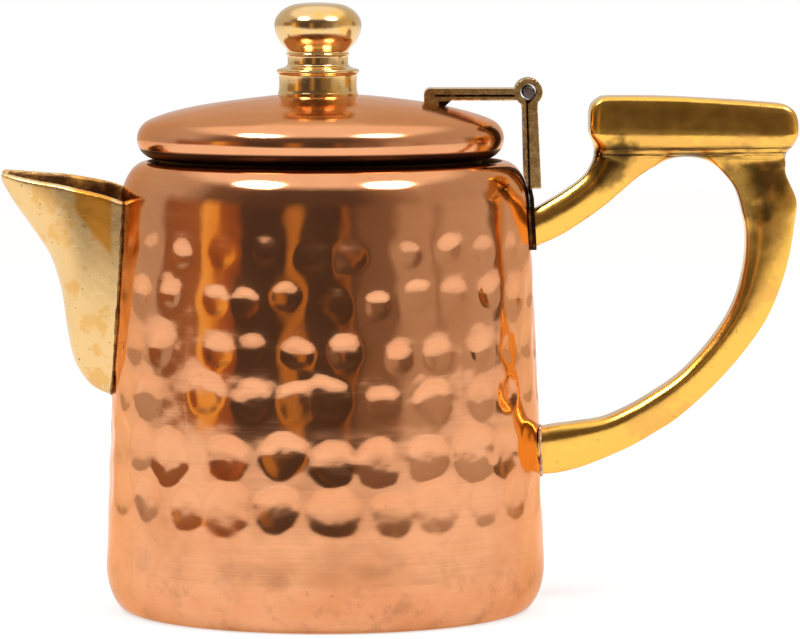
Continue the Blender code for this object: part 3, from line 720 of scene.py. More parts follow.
def hammering_tree():
    """Geometry nodes that sink one mark for each blow and keep the deepest at a point."""
    t, given = node_group("Hammering", {
        "Geometry": "Geometry", "Blows": "Object", "Blow Count": "Int", "Rim Height": "Float",
        "Wave Height": "Float", "Skirt": "Float", "Lowest": "Float", "Highest": "Float"})
    blows = t.add("GeometryNodeObjectInfo", {"Object": given["Blows"]}).outputs["Geometry"]

    def store(geometry, name, value):
        inputs = {"Geometry": geometry, "Name": name, "Value": value}
        return t.add("GeometryNodeStoreNamedAttribute", inputs,
                     data_type="FLOAT", domain="POINT").outputs[0]

    start = given["Geometry"]
    for name in ("dent", "ring", "skirt"):
        start = store(start, name, 0.0)
    loop_in = t.add("GeometryNodeRepeatInput")
    loop_out = t.add("GeometryNodeRepeatOutput")
    loop_in.pair_with_output(loop_out)
    t.set(loop_in.inputs["Iterations"], given["Blow Count"])
    t.set(loop_in.inputs["Geometry"], start)
    turn = loop_in.outputs["Iteration"]
    here = t.add("GeometryNodeInputPosition").outputs[0]

    def of_blow(value, kind):
        return t.add("GeometryNodeSampleIndex",
                     {"Geometry": blows, "Value": value, "Index": turn},
                     data_type=kind, domain="POINT").outputs[0]

    def named(name):
        return t.add("GeometryNodeInputNamedAttribute", {"Name": name},
                     data_type="FLOAT").outputs[0]

    centre = of_blow(here, "FLOAT_VECTOR")
    radius = of_blow(named("radius"), "FLOAT")
    depth = of_blow(named("depth"), "FLOAT")
    away = t.vector("DISTANCE", {0: here, 1: centre})["Value"]
    share = t.math("ADD", t.math("DIVIDE", away, radius),
                   t.range(t.noise(260.0, 2.0), 0.3, 0.7, -0.12, 0.12))
    above = t.height(t.vector("SUBTRACT", {0: here, 1: centre})[0])
    slant = t.math("MULTIPLY", of_blow(named("lean"), "FLOAT"),
                   t.math("DIVIDE", above, radius))
    bowl = t.math("SUBTRACT", 1.0, t.math("POWER", share, 3.0), clamp=True)
    bowl = t.math("MULTIPLY", bowl, t.math("ADD", 1.0, slant))
    sunk = t.math("MULTIPLY", depth, bowl)
    wide = t.math("DIVIDE", share, SKIRT_REACH)
    skirt = t.math("SUBTRACT", 1.0, t.math("MULTIPLY", wide, wide), clamp=True)
    skirt = t.math("MULTIPLY", t.math("MULTIPLY", skirt, skirt), depth)
    deepest = t.math("MAXIMUM", named("dent"), sunk)
    from_edge = t.math("ABSOLUTE", t.math("SUBTRACT", share, 1.0))
    edge = t.math("SUBTRACT", 1.0, t.math("DIVIDE", from_edge, RIM_WIDTH), clamp=True)
    edge = t.math("MULTIPLY", edge, t.range(depth, *RIM_DEPTHS))
    kept = store(loop_in.outputs["Geometry"], "dent", deepest)
    kept = store(kept, "ring", t.math("MAXIMUM", named("ring"), edge))
    kept = store(kept, "skirt", t.math("ADD", named("skirt"), skirt))
    t.set(loop_out.inputs["Geometry"], kept)
    normal = t.add("GeometryNodeInputNormal").outputs[0]
    flat = t.add("FunctionNodeCompare", {0: named("dent"), 1: UNTOUCHED},
                 data_type="FLOAT", operation="LESS_THAN").outputs[0]
    rim = t.math("MULTIPLY", t.math("MULTIPLY", named("ring"), flat), given["Rim Height"])
    softened = t.add("GeometryNodeBlurAttribute", {"Value": named("dent"), "Iterations": 2},
                     data_type="FLOAT").outputs[0]
    grain = t.range(t.noise(700.0, 3.0), 0.3, 0.7, 0.96, 1.04)
    softened = t.math("MULTIPLY", softened, grain)
    height = t.height(here)
    skirts = t.math("MULTIPLY", named("skirt"), t.range(height, *SKIRT_HEIGHTS))
    softened = t.math("ADD", softened, t.math("MULTIPLY", skirts, given["Skirt"]))
    lift = t.math("SUBTRACT", rim, softened)
    low, high = given["Lowest"], given["Highest"]
    worked = t.math("MULTIPLY", t.range(height, low, t.math("ADD", low, WORK_FADE)),
                    t.range(height, high, t.math("SUBTRACT", high, WORK_FADE)))
    waves = t.math("ADD", t.range(t.noise(85.0, 0.0), 0.25, 0.75, -1.0, 0.0),
                   t.range(t.noise(330.0, 0.0), 0.25, 0.75, -0.3, 0.0))
    waves = t.math("MULTIPLY", t.math("MULTIPLY", waves, worked), given["Wave Height"])
    outer = t.math("LESS_THAN", named("inside"), 0.5)
    lift = t.math("MULTIPLY", t.math("ADD", lift, waves), outer)
    offset = t.vector("SCALE", {0: normal, "Scale": lift})[0]
    moved = t.add("GeometryNodeSetPosition", {"Geometry": loop_out.outputs["Geometry"],
                                              "Offset": offset})
    return given_out(t, given, moved)


def strainer_tree():
    """Geometry nodes that set round cutters out in staggered rows behind the spout."""
    t, given = node_group("Strainer holes", {
        "Radius": "Float", "Pitch": "Float", "Rows": "Int", "Top": "Float", "Across": "Float"})
    in_row = 3
    count = t.math("MULTIPLY", given["Rows"], float(in_row))
    points = t.add("GeometryNodePoints", {"Count": count}).outputs[0]
    index = t.add("GeometryNodeInputIndex").outputs[0]
    row = t.math("FLOOR", t.math("DIVIDE", index, float(in_row)))
    column = t.math("MODULO", index, float(in_row))
    odd = t.math("MODULO", row, 2.0)
    shift = t.math("SUBTRACT", t.math("MULTIPLY", odd, 0.5), 1.0)
    y = t.math("MULTIPLY", t.math("ADD", column, shift), given["Pitch"])
    z = t.math("SUBTRACT", given["Top"], t.math("MULTIPLY", row, given["Pitch"]))
    where = t.add("ShaderNodeCombineXYZ", {"X": given["Across"], "Y": y, "Z": z}).outputs[0]
    set_out = t.add("GeometryNodeSetPosition", {"Geometry": points, "Position": where})
    spare = t.add("FunctionNodeCompare",
                  {0: t.math("MULTIPLY", odd, column), 1: in_row - 1.5},
                  data_type="FLOAT", operation="GREATER_THAN").outputs[0]
    trimmed = t.add("GeometryNodeDeleteGeometry",
                    {"Geometry": set_out.outputs[0], "Selection": spare}, domain="POINT")
    drill = t.add("GeometryNodeMeshCylinder",
                  {"Vertices": 24, "Radius": given["Radius"], "Depth": DRILL_LENGTH})
    along_x = t.add("FunctionNodeAxisAngleToRotation",
                    {"Axis": (0.0, 1.0, 0.0), "Angle": math.pi / 2}).outputs[0]
    drills = t.add("GeometryNodeInstanceOnPoints",
                   {"Points": trimmed.outputs[0], "Instance": drill.outputs["Mesh"],
                    "Rotation": along_x})
    return given_out(t, given, drills)


def bead_tree():
    """Geometry nodes that run an uneven solder bead along a path."""
    t, given = node_group("Solder bead",
                          {"Geometry": "Geometry", "Radius": "Float", "Step": "Float"})
    path = t.add("GeometryNodeMeshToCurve", {"Mesh": given["Geometry"]}).outputs[0]
    path = t.add("GeometryNodeResampleCurve", {"Curve": path, "Length": given["Step"]},
                 mode="LENGTH")
    lumps = t.range(t.noise(420.0, 3.0), 0.3, 0.7, 0.45, 1.25)
    swell = t.math("MULTIPLY", lumps, given["Radius"])
    ring = t.add("GeometryNodeCurvePrimitiveCircle", {"Resolution": 12, "Radius": 1.0})
    sweep = t.add("GeometryNodeCurveToMesh",
                  {"Curve": path.outputs[0], "Profile Curve": ring.outputs["Curve"],
                   "Scale": swell, "Fill Caps": True})
    return given_out(t, given, sweep)


def grow(piece, group, values):
    """Give a piece a node tree with its named inputs set by identifier."""
    change = piece.modifiers.new(group.name, "NODES")
    change.node_group = group
    inputs = {item.name: item.identifier for item in group.interface.items_tree
              if item.in_out == "INPUT"}
    for name, value in values.items():
        change[inputs[name]] = value


def stored(mesh, name, values):
    """Keep a number for each point of a mesh."""
    layer = mesh.attributes.new(name, "FLOAT", "POINT")
    layer.data.foreach_set("value", np.asarray(values, np.float32))


def points_of(mesh, source=None, key="co"):
    """Coordinates, or normals, of a mesh's points, or other items, as rows."""
    items = mesh.vertices if source is None else source
    values = np.zeros(len(items) * 3, np.float32)
    items.foreach_get(key, values)
    return values.reshape(-1, 3).astype(float)


def put_points(mesh, co):
    """Give a mesh's points the coordinates of the rows."""
    mesh.vertices.foreach_set("co", co.astype(np.float32).ravel())
    mesh.update()


def second_finish(mesh, chosen):
    """Give the chosen faces of a mesh the second of its finishes."""
    mesh.polygons.foreach_set("material_index", chosen.astype(np.int32))


def wander(points, scale, seed):
    """A smooth random value from about -1 to 1 at every point."""
    rng = np.random.default_rng(seed)
    total = np.zeros(len(points))
    for _ in range(10):
        direction = rng.normal(size=3)
        direction *= rng.uniform(0.5, 1.0) / scale / np.linalg.norm(direction)
        total += np.sin(points @ direction * 2 * math.pi + rng.uniform(0, 2 * math.pi))
    return total / 4.0


# The pieces ------------------------------------------------------------------------

def inside_of(s, co):
    """Which of the pot's points lie on its inside."""
    radius, z = np.hypot(co[:, 0], co[:, 1]), co[:, 2]
    rise = np.sqrt(np.clip(1 - (z / s.corner_height - 1) ** 2, 0, 1))
    bend = s.foot_radius - s.corner_width + s.corner_width * rise
    skin = np.array([body_radius(s, max(height, s.corner_height)) for height in z])
    inside = np.where(z < s.corner_height, (radius < bend - 0.5 * s.wall) & (z > 0.5 * s.wall),
                      radius < skin - 0.6 * s.wall)
    # The ledge in the mouth counts as inside too, so it takes the painted shade.
    mouth = s.foot_radius - s.flare - s.shoulder_width - 0.8 * s.lip_bend
    return inside | (radius < mouth) & (z > s.height - s.shoulder_height)


class JUG_OT_body(bpy.types.Operator):
    """Turn the copper pot, hammer its wall and drill the strainer"""

    bl_idname = "jug.body"
    bl_label = "Hammered body"

    def execute(self, context):
        s = context.scene.jug_body
        mesh = turned_mesh("jug_body", body_outline(s), s.columns)
        stored(mesh, "inside", inside_of(s, points_of(mesh)))
        pot = linked("jug_body_raw", mesh)
        blows = linked("blows", blow_mesh(s))
        drills = linked("drills", bpy.data.meshes.new("drills"))
        copper = hammered_copper()
        grow(drills, strainer_tree(), {
            "Radius": s.hole_radius, "Pitch": s.hole_pitch, "Rows": s.hole_rows,
            "Top": s.height - s.holes_below_crest, "Across": -s.foot_radius + s.flare,
            "Finish": copper})
        grow(pot, hammering_tree(), {
            "Blows": blows, "Blow Count": len(blows.data.vertices), "Rim Height": RIM_HEIGHT,
            "Wave Height": s.wave_height, "Skirt": SKIRT, "Lowest": WORKED_FROM,
            "Highest": s.height + WORKED_PAST, "Finish": copper})
        cut(pot, [drills])
        mesh = settled(pot, "jug_body", [blows, drills])
        mesh.materials.clear()
        body = shown("jug_body", mesh, [copper])
        place(body, "jug", "hammered_copper", "body_shell")
        return {"FINISHED"}


# Spout sections from the root to the tip, in millimetres out from the wall and up
# from the foot: rim point, keel point, half width as a share, and how pointed it is.
SPOUT_SECTIONS = (
    (-4.0, 38.6, -4.0, -1.0, 1.0, 0.75), (-0.5, 39.9, 2.4, 0.1, 1.0, 0.75),
    (2.0, 40.8, 6.4, 2.4, 0.99, 0.78), (5.0, 41.6, 9.3, 7.0, 0.95, 0.82),
    (8.5, 42.3, 10.8, 14.0, 0.875, 0.88), (12.0, 43.0, 11.8, 21.0, 0.78, 0.95),
    (15.5, 43.4, 14.0, 28.0, 0.667, 1.05), (18.6, 43.8, 18.2, 34.4, 0.552, 1.15),
    (21.2, 44.2, 21.0, 38.4, 0.4375, 1.2), (23.8, 44.6, 23.6, 42.8, 0.27, 1.2),
)
SPOUT_ROLL = 0.12                  # slope of the rim, lower on the viewer's side
# The painted reflection, a warm patch on the spout's side, in millimetres in the jug's frame: a
# point (x, z) of its lower edge, the way (x, z) up from that edge, its ends along X and its fade.
FACET_EDGE, FACET_WAY = (-49.0, 79.1), (0.777, 0.628)
FACET_ENDS, FACET_FADE = (-49.8, -41.9), 0.7


def spout_ring(body, sizes, section, inset, shift, steps):
    """Points of one cross-section, from the rim round the keel to the other rim."""
    rim_x, rim_z, keel_x, keel_z, share, point = section
    wall = body.foot_radius - body.flare
    out = (-wall - SPOUT_LOW.x) / SPOUT_SECTIONS[-1][0]
    up = (body.height - 2.4 * MM - SPOUT_LOW.z) / SPOUT_SECTIONS[-1][1]
    half = sizes.spout_half_width * share
    drop = math.hypot((keel_x - rim_x) * out, (keel_z - rim_z) * up)
    deepest = max(1 - inset / drop, 0.25)
    ring = []
    for turn in np.linspace(-math.pi / 2, math.pi / 2, steps + 1):
        y = math.copysign(abs(math.sin(turn)) ** point, turn) * (half - inset)
        down = max(math.cos(turn), 0.0) ** point * deepest
        x = (rim_x + (keel_x - rim_x) * down) * out - shift
        z = (rim_z + (keel_z - rim_z) * down) * up
        lean = SPOUT_ROLL * y * z / (up * SPOUT_SECTIONS[-1][1])
        ring.append(Vector((-wall - x, y, SPOUT_LOW.z + z + lean)))
    return ring


class JUG_OT_spout(bpy.types.Operator):
    """Cast the open brass spout"""

    bl_idname = "jug.spout"
    bl_label = "Spout"

    def execute(self, context):
        body, s = context.scene.jug_body, context.scene.jug_fittings
        sections = smooth_rows(SPOUT_SECTIONS, 5)
        steps = 40                     # points round each skin
        rings = []
        for i, section in enumerate(sections):
            # The inner skin falls back from the outer one towards the tip, to close it
            back = s.spout_wall * max(0.7, (i - len(sections) + 6) / 5)
            outer = spout_ring(body, s, section, 0.0, 0.0, steps)
            inner = spout_ring(body, s, section, s.spout_wall, back, steps)
            near, far = ((a + b) / 2 + Vector((0, 0, 0.3 * s.spout_wall))
                         for a, b in ((outer[-1], inner[-1]), (outer[0], inner[0])))
            rings.append(outer + [near] + inner[::-1] + [far])
        bm = bmesh.new()
        lofted(bm, rings)
        mesh = cast(scratch("spout_raw", bm), "jug_spout", s.casting_grain, 4, [body_plug(body)])
        spout = shown("jug_spout", mesh, [brass("spout_brass"), dark_inside()], 180)
        co = points_of(mesh, mesh.polygons, "center")
        normal = points_of(mesh, mesh.polygons, "normal")
        beside = np.abs(co[:, 1]) > 1.5 * MM
        hidden = np.where(beside, normal[:, 1] * co[:, 1] < 0, normal[:, 0] > 0)
        hidden |= normal[:, 0] > 0.35
        rim = normal[:, 2] > 0.75
        second_finish(mesh, hidden & ~rim)
        # Where the painted reflection lies on the spout's side.
        x, _, z = points_of(mesh).T / MM
        above = (x - FACET_EDGE[0]) * FACET_WAY[0] + (z - FACET_EDGE[1]) * FACET_WAY[1]
        inward = np.minimum(x - FACET_ENDS[0], FACET_ENDS[1] - x)
        stored(mesh, "reflection_patch", np.clip(np.minimum(above, inward) / FACET_FADE, 0, 1))
        mesh.update()
        place(spout, "jug", "spout_brass", "spout")
        return {"FINISHED"}


# The handle's loop as pairs of points on its outer and inner edge, from the upper
# root to the lower one, in millimetres out from the wall and up from the foot's
# underside; the last number says how far the section's ridge lies to the outer edge.
HANDLE_LOOP = (
    (-3.0, 51.0, -3.0, 43.6, 0.15), (1.2, 53.4, 0.8, 45.6, 0.15),
    (6.6, 56.6, 7.0, 48.5, 0.15), (10.8, 59.8, 14.2, 53.4, 0.15),
    (12.6, 63.0, 18.0, 56.6, 0.15), (13.6, 67.0, 21.0, 59.2, 0.1),
    (18.0, 70.5, 24.2, 61.4, 0.0), (25.0, 72.5, 28.0, 63.2, 0.0),
    (32.0, 73.0, 31.4, 63.6, 0.0), (39.0, 72.0, 34.8, 63.1, 0.0),
    (46.0, 69.5, 37.4, 61.6, 0.0), (50.8, 64.0, 40.0, 58.8, 0.0),
    (51.0, 60.4, 41.4, 56.3, 0.0), (53.2, 55.0, 42.4, 52.6, 0.0),
    (52.8, 50.2, 43.1, 48.9, -0.1), (51.8, 43.8, 42.9, 42.9, -0.2),
    (50.0, 37.4, 41.5, 36.4, -0.3), (47.2, 31.0, 39.0, 30.9, -0.4),
    (42.8, 24.6, 34.8, 25.1, -0.4), (37.2, 18.2, 29.6, 19.8, -0.4),
    (30.2, 11.8, 24.0, 15.9, -0.4), (25.4, 8.6, 19.6, 13.4, -0.4),
    (19.8, 5.4, 14.8, 11.3, -0.4), (12.4, 2.2, 9.5, 10.4, -0.4),
    (7.2, 0.6, 5.5, 9.9, -0.4), (3.0, 0.0, 2.5, 9.4, -0.4), (-2.0, 0.0, -2.0, 9.2, -0.4),
)
# The thumb rest along its length: place, underside, top, and share of the half width
THUMB_REST = (
    (11.75, 68.6, 72.4, 0.80), (12.0, 67.6, 73.6, 0.90), (12.6, 66.2, 74.6, 0.96),
    (13.8, 65.6, 75.4, 1.0), (15.6, 65.3, 75.8, 1.0), (27.8, 65.1, 75.7, 1.0),
    (39.0, 64.9, 75.1, 1.0), (49.6, 64.6, 74.3, 1.0), (51.6, 64.8, 73.6, 1.0),
    (52.6, 65.6, 72.8, 0.96), (53.1, 66.8, 71.8, 0.90), (53.4, 68.2, 70.6, 0.80),
)
THUMB_SIDE = ((-1.0, 0.80), (-0.86, 0.93), (-0.6, 0.985), (-0.2, 1.0), (0.25, 0.99),
              (0.6, 0.965), (0.84, 0.92), (0.95, 0.86), (1.0, 0.76))


# How the handle is drawn in at the crease under the thumb rest: strength, its full reach
# and its fade with height, and rounds.
CREASE_PULL, CREASE_FULL, CREASE_FADE, CREASE_ROUNDS = 0.9, 1.4, 2.2 * MM, 60


def handle_place(body, x, z):
    """Where a point of the handle's outline lies, as (x, z)."""
    wall = body.foot_radius - body.flare
    out = (HANDLE_HIGH.x - wall) / THUMB_REST[-1][0]
    up = (HANDLE_HIGH.z - HANDLE_LOW.z) / max(row[2] for row in THUMB_REST)
    return wall + x * out, HANDLE_LOW.z + z * up


def loop_ring(body, half, row):
    """One section of the loop, a lens with blunt edges whose ridge can wander."""
    outer = np.array(handle_place(body, row[0], row[1]))
    inner = np.array(handle_place(body, row[2], row[3]))
    ridge = row[4]
    side = []
    for share in np.linspace(1.0, -1.0, 13):
        reach = (share - ridge) / ((1 - ridge) if share > ridge else (1 + ridge))
        x, z = inner + (outer - inner) * (1 + share) / 2
        side.append((x, half * (1 - 0.26 * reach * reach), z))
    return side + [(x, -y, z) for x, y, z in side[::-1]]


def eased(mesh, co, weight, rounds):
    """Points of a mesh after the weighted ones have been drawn to their neighbours."""
    ends = np.empty(2 * len(mesh.edges), dtype=np.int64)
    mesh.edges.foreach_get("vertices", ends)
    a, b = ends[0::2], ends[1::2]
    count = np.bincount(ends, minlength=len(co))[:, None]
    for _ in range(rounds):
        total = np.stack([np.bincount(a, co[b, k], len(co)) + np.bincount(b, co[a, k], len(co))
                          for k in range(3)], axis=1)
        co = co + weight[:, None] * (total / count - co)
    return co


class JUG_OT_handle(bpy.types.Operator):
    """Cast the brass loop with its broad thumb rest"""

    bl_idname = "jug.handle"
    bl_label = "Handle"

    def execute(self, context):
        body, s = context.scene.jug_body, context.scene.jug_fittings
        bm = bmesh.new()
        lofted(bm, [loop_ring(body, s.handle_half_width, row)
                    for row in smooth_rows(HANDLE_LOOP, 6)])
        rings = []
        for along, under, top, share in smooth_rows(THUMB_REST, 3):
            side = []
            for up, width in THUMB_SIDE:
                x, z = handle_place(body, along, under + (top - under) * (1 + up) / 2)
                side.append((x, s.thumb_half_width * width * share, z))
            rings.append(side + [(x, -y, z) for x, y, z in side[::-1]])
        lofted(bm, rings)
        bmesh.ops.recalc_face_normals(bm, faces=bm.faces)
        mesh = cast(scratch("handle_raw", bm), "jug_handle", s.casting_grain, 5)
        mesh = trimmed(mesh, "jug_handle", [body_plug(body)])
        from_crease = np.abs(points_of(mesh)[:, 2] - HANDLE_HIGH.z + CREASE_DROP)
        weight = CREASE_PULL * np.clip(CREASE_FULL - from_crease / CREASE_FADE, 0, 1)
        co = eased(mesh, points_of(mesh), weight, CREASE_ROUNDS)
        normal = points_of(mesh, mesh.vertex_normals, "vector")
        waves = 0.04 * MM * wander(co, 16 * MM, 5) + 0.006 * MM * wander(co, 3 * MM, 6)
        put_points(mesh, co - normal * np.abs(waves)[:, None])
        handle = shown("jug_handle", mesh, [brass("handle_brass")], 60)
        place(handle, "jug", "handle_brass", "handle")
        return {"FINISHED"}


def knuckle(radius, start, end, steps=24):
    """Part of a knuckle's outside about the pin."""
    return arc((PIN_X, PIN_Z), (radius, radius), start, end, steps)


def bore_tool(radius, drop):
    """A drop-shaped cutter for the pin's hole, with its point downward."""
    bm = bmesh.new()
    outline = knuckle(radius, -50, 230, 40) + [(PIN_X, PIN_Z - radius - drop)]
    extruded(bm, outline, -12 * MM, 12 * MM)
    return scratch("bore", bm)


def slit_tool(outline, half, depth):
    """A cutter for a slit along both side faces of a strap of the given half width."""
    bm = bmesh.new()
    extruded(bm, outline, half - depth, half + 1 * MM)
    extruded(bm, outline, -half - 1 * MM, depth - half)
    return scratch("slit", bm)


# Hinge sizes
KNUCKLE_HALF = 1.35 * MM           # half the width of the lid's knuckle
STEM_NECK = 3.0 * MM               # pin down to the stem's straight part
STEM_FOOT = 19.2 * MM              # pin down to the stem's foot
TAIL_TOP = 18.6 * MM               # pin down to the tail's start
TAIL_SHEET = 0.75 * MM             # thickness of the tail against the wall
OFF_WALL = 0.1 * MM                # gap between the stem and the wall
STRAP_UP, STRAP_DOWN = 0.75 * MM, 1.65 * MM        # strap's faces, up and down from the pin


class JUG_OT_hinge(bpy.types.Operator):
    """Fold the two hinge straps round the pin and set the pin"""

    bl_idname = "jug.hinge"
    bl_label = "Hinge"

    def execute(self, context):
        s = context.scene.jug_fittings
        metals = [brass("strap_brass"), clouded("soot")]
        self.stem(context.scene.jug_body, s, metals)
        self.strap(context.scene.jug_lid, s, metals)
        self.rod()
        return {"FINISHED"}

    def stem(self, body, s, metals):
        """The strap that stands on the body, forks round the pin and ends in a tail."""
        half = STEM_HIGH.y
        reach = PIN_RADIUS + s.pin_play + s.strap
        room = KNUCKLE_HALF + s.pin_play
        foot = PIN_Z - STEM_FOOT
        bm = bmesh.new()
        drops = np.linspace(0, 1, 9)
        levels = [PIN_Z - STEM_NECK + (foot - PIN_Z + STEM_NECK) * t for t in drops]
        left = [(max(PIN_X - (1.2 - 0.4 * t) * MM, body_radius(body, z) + OFF_WALL), z)
                for t, z in zip(drops, levels)]
        right = [(PIN_X + (1.8 + 0.8 * t) * MM, z) for t, z in zip(drops, levels)]
        extruded(bm, left + right[::-1], -half, half)
        fork = knuckle(reach, -48, 242, 60) + [(side[0][0], PIN_Z - 3.4 * MM)
                                               for side in (left, right)]
        for low, high in ((-half, -room), (room, half)):
            extruded(bm, fork, low, high)
        heights = [PIN_Z - drop for drop in np.linspace(TAIL_TOP, PIN_Z - STEM_LOW.z, 6)]
        tail = [(body_radius(body, z) + OFF_WALL, z) for z in heights]
        extruded(bm, tail + [(x + TAIL_SHEET, z) for x, z in tail[::-1]], -half, half)
        notch = bmesh.new()
        extruded(notch, rectangle(PIN_X - 5 * MM, PIN_Z - reach - s.pin_play,
                                  PIN_X + 5 * MM, PIN_Z + 5 * MM), -room, room)
        mesh = cast(scratch("stem_raw", bm), "hinge_stem", s.strap_grain, 3)
        seam = s.strap_seam / 2
        line = [(PIN_X - 0.35 * MM, PIN_Z - PIN_RADIUS), (PIN_X + 0.25 * MM, foot - 1 * MM)]
        slit = [(x - seam, z) for x, z in line] + [(x + seam, z) for x, z in line[::-1]]
        mesh = trimmed(mesh, "hinge_stem", [
            bore_tool(PIN_RADIUS + s.pin_play, 0.7 * MM), scratch("notch", notch),
            slit_tool(slit, half, s.seam_depth)])
        co = points_of(mesh, mesh.polygons, "center")
        # Painted shade: the seam, the bore and the fork's inner faces are painted dark; so is the
        # tail below the foot.
        dark = (np.abs(co[:, 1]) < half - 0.4 * s.seam_depth) | (co[:, 2] < foot - 0.2 * MM)
        stem = shown("hinge_stem", mesh, metals)
        second_finish(mesh, dark)
        place(stem, "jug", "strap_brass", "hinge_body_leaf")

    def strap(self, lid, s, metals):
        """The strap that lies on the lid and folds round the pin."""
        half = STRAP_HIGH.y
        reach = PIN_RADIUS + s.pin_play + s.strap
        top, low = PIN_Z + STRAP_UP, PIN_Z - STRAP_DOWN
        end, seam = STRAP_LOW.x, top - s.strap
        near_pin = PIN_X - reach + 0.3 * MM
        bm = bmesh.new()
        bend = arc((end + s.strap, top - s.strap), (s.strap, s.strap), 180, 90, 8)
        extruded(bm, bend + [(near_pin, top), (near_pin, low), (end + 5.4 * MM, low),
                             (end + 4.2 * MM, STRAP_LOW.z), (end, STRAP_LOW.z)], -half, half)
        extruded(bm, knuckle(reach, 165, -144, 60) + [(near_pin - 1 * MM, low),
                                                      (near_pin - 1 * MM, top)],
                 -KNUCKLE_HALF, KNUCKLE_HALF)
        dome = [(r, z - 0.3 * MM) for r, z in lid_outline(lid)[1:56]]
        dome = [(0.0, dome[0][1])] + dome + [(0.0, dome[-1][1])]
        mesh = cast(scratch("strap_raw", bm), "hinge_strap", s.strap_grain, 3)
        fold, back = end + 2.2 * MM, PIN_X - reach + 0.1 * MM
        slit = [(fold, seam), (back, seam), (back, seam - s.strap_seam),
                (fold, seam - s.strap_seam)]
        mesh = trimmed(mesh, "hinge_strap", [
            linked("dome", turned_mesh("dome", dome, 180, (LID_X, 0.0))),
            bore_tool(PIN_RADIUS + s.pin_play, 0.0), slit_tool(slit, half, s.seam_depth)])
        co = points_of(mesh, mesh.polygons, "center")
        # Painted shade: the seam between the folded layers and the underside of the strap's foot
        # on the dome are painted dark.
        sunk = (np.abs(co[:, 1]) < half - 0.4 * s.seam_depth) & (co[:, 0] < PIN_X - reach)
        dark = (sunk & (np.abs(co[:, 2] - seam + s.strap_seam / 2) < s.strap_seam)) | (
            (co[:, 2] < low - 0.1 * MM) & (co[:, 0] > end + 3.0 * MM))
        strap = shown("hinge_strap", mesh, metals)
        second_finish(mesh, dark)
        place(strap, "lid", "strap_brass", "hinge_lid_leaf")

    def rod(self):
        """The pin, with its ends rounded."""
        half, across, along = PIN_HIGH.y, 0.4 * MM, 0.35 * MM
        side = [(0.0, -half)] + arc((PIN_RADIUS - across, -half + along), (across, along),
                                    -90, 0, 6)
        mesh = turned_mesh("hinge_rod", side + [(r, -z) for r, z in side[::-1]], 48)
        x, y, z = points_of(mesh).T
        put_points(mesh, np.stack([x + PIN_X, -z, y + PIN_Z], axis=1))
        rod = shown("hinge_rod", mesh, [clouded("pin_metal")])
        place(rod, "jug", "fixing_brass", "hinge_pin")


CALM_RADIUS, CALM_FADE = 10 * MM, 6 * MM           # the dome is even under the knob
RING_SHEET = 0.9 * MM              # thickness of the ring that drops in the mouth


class JUG_OT_lid(bpy.types.Operator):
    """Beat the copper lid and solder the ring that drops in the mouth"""

    bl_idname = "jug.lid"
    bl_label = "Lid"

    def execute(self, context):
        s = context.scene.jug_lid
        finish = lid_copper()
        mesh = turned_mesh("lid_dome", lid_outline(s), 320, (LID_X, 0.0))
        co = points_of(mesh)
        normal = points_of(mesh, mesh.vertex_normals, "vector")
        radius = np.hypot(co[:, 0] - LID_X, co[:, 1])
        rim_z = LID_LOW.z + s.roll_radius
        calm = np.clip((radius - CALM_RADIUS) / CALM_FADE, 0, 1)
        flat = co * (1, 1, 0)
        waves = np.abs(wander(flat, 26 * MM, 3)) + 0.35 * np.abs(wander(flat, 9 * MM, 4))
        co[:, 2] -= s.unevenness * calm * waves * (normal[:, 2] > 0)
        # Painted shade: the rolled rim's underside and the hollow under the dome are marked to be
        # painted dark.
        under = np.clip((-normal[:, 2] - 0.5) / 0.2, 0, 1) * (co[:, 2] < rim_z)
        hollow = (radius < (LID_HIGH.x - LID_LOW.x) / 2 - 0.5 * s.sheet) & (normal[:, 2] < 0)
        stored(mesh, "inside", np.maximum(under, hollow))
        put_points(mesh, co)
        dome = shown("lid_dome", mesh, [finish])
        place(dome, "lid", "lid_copper", "lid_shell")

        outer, low = (COLLAR_HIGH.x - COLLAR_LOW.x) / 2, COLLAR_LOW.z
        sheet = RING_SHEET
        bead = arc((outer - sheet / 2, low + sheet / 2), (sheet / 2, sheet / 2), 0, -180, 10)
        outline = ([(outer, COLLAR_HIGH.z)] + [(outer, low + z) for z in (4 * MM, 2 * MM)]
                   + bead + [(outer - sheet, COLLAR_HIGH.z)])
        mesh = turned_mesh("lid_ring", outline, 240, (COLLAR_X, 0.0))
        # Painted shade: the whole ring, in the gap under the lid, is painted dark.
        stored(mesh, "inside", np.ones(len(mesh.vertices)))
        ring = shown("lid_ring", mesh, [finish])
        place(ring, "lid", "lid_copper", "lid_collar")
        return {"FINISHED"}


# The knob's side from its crown to its foot, in millimetres: radius and height
KNOB_PROFILE = (
    (0.0, 18.2), (1.8, 18.15), (3.5, 18.0), (5.0, 17.75), (6.3, 17.2), (7.3, 16.5),
    (8.1, 15.6), (8.6, 14.6), (8.7, 13.6), (8.5, 12.3), (7.95, 10.9), (7.1, 9.75),
    (6.45, 9.0), (6.15, 8.5), (6.1, 8.2), (6.3, 8.0), (6.3, 7.8), (6.1, 7.6), (6.05, 7.0),
    (6.05, 6.2), (6.2, 5.7), (6.8, 5.3), (7.7, 5.05), (8.15, 4.85), (8.25, 4.55),
    (8.15, 4.2), (7.9, 3.95), (7.8, 3.6), (7.75, 2.6), (7.75, 1.4),
    (7.85, 0.6), (8.0, 0.15), (8.0, 0.0),
)


WASHER_EDGE = 0.15 * MM            # chamfer of the washer
SCREW_RADIUS = 2.0 * MM            # shank of the screw
SCREW_CROWN = 1.0 * MM             # height of the crown of its head
SLOT_HALF = 0.4 * MM               # half the width of its slot


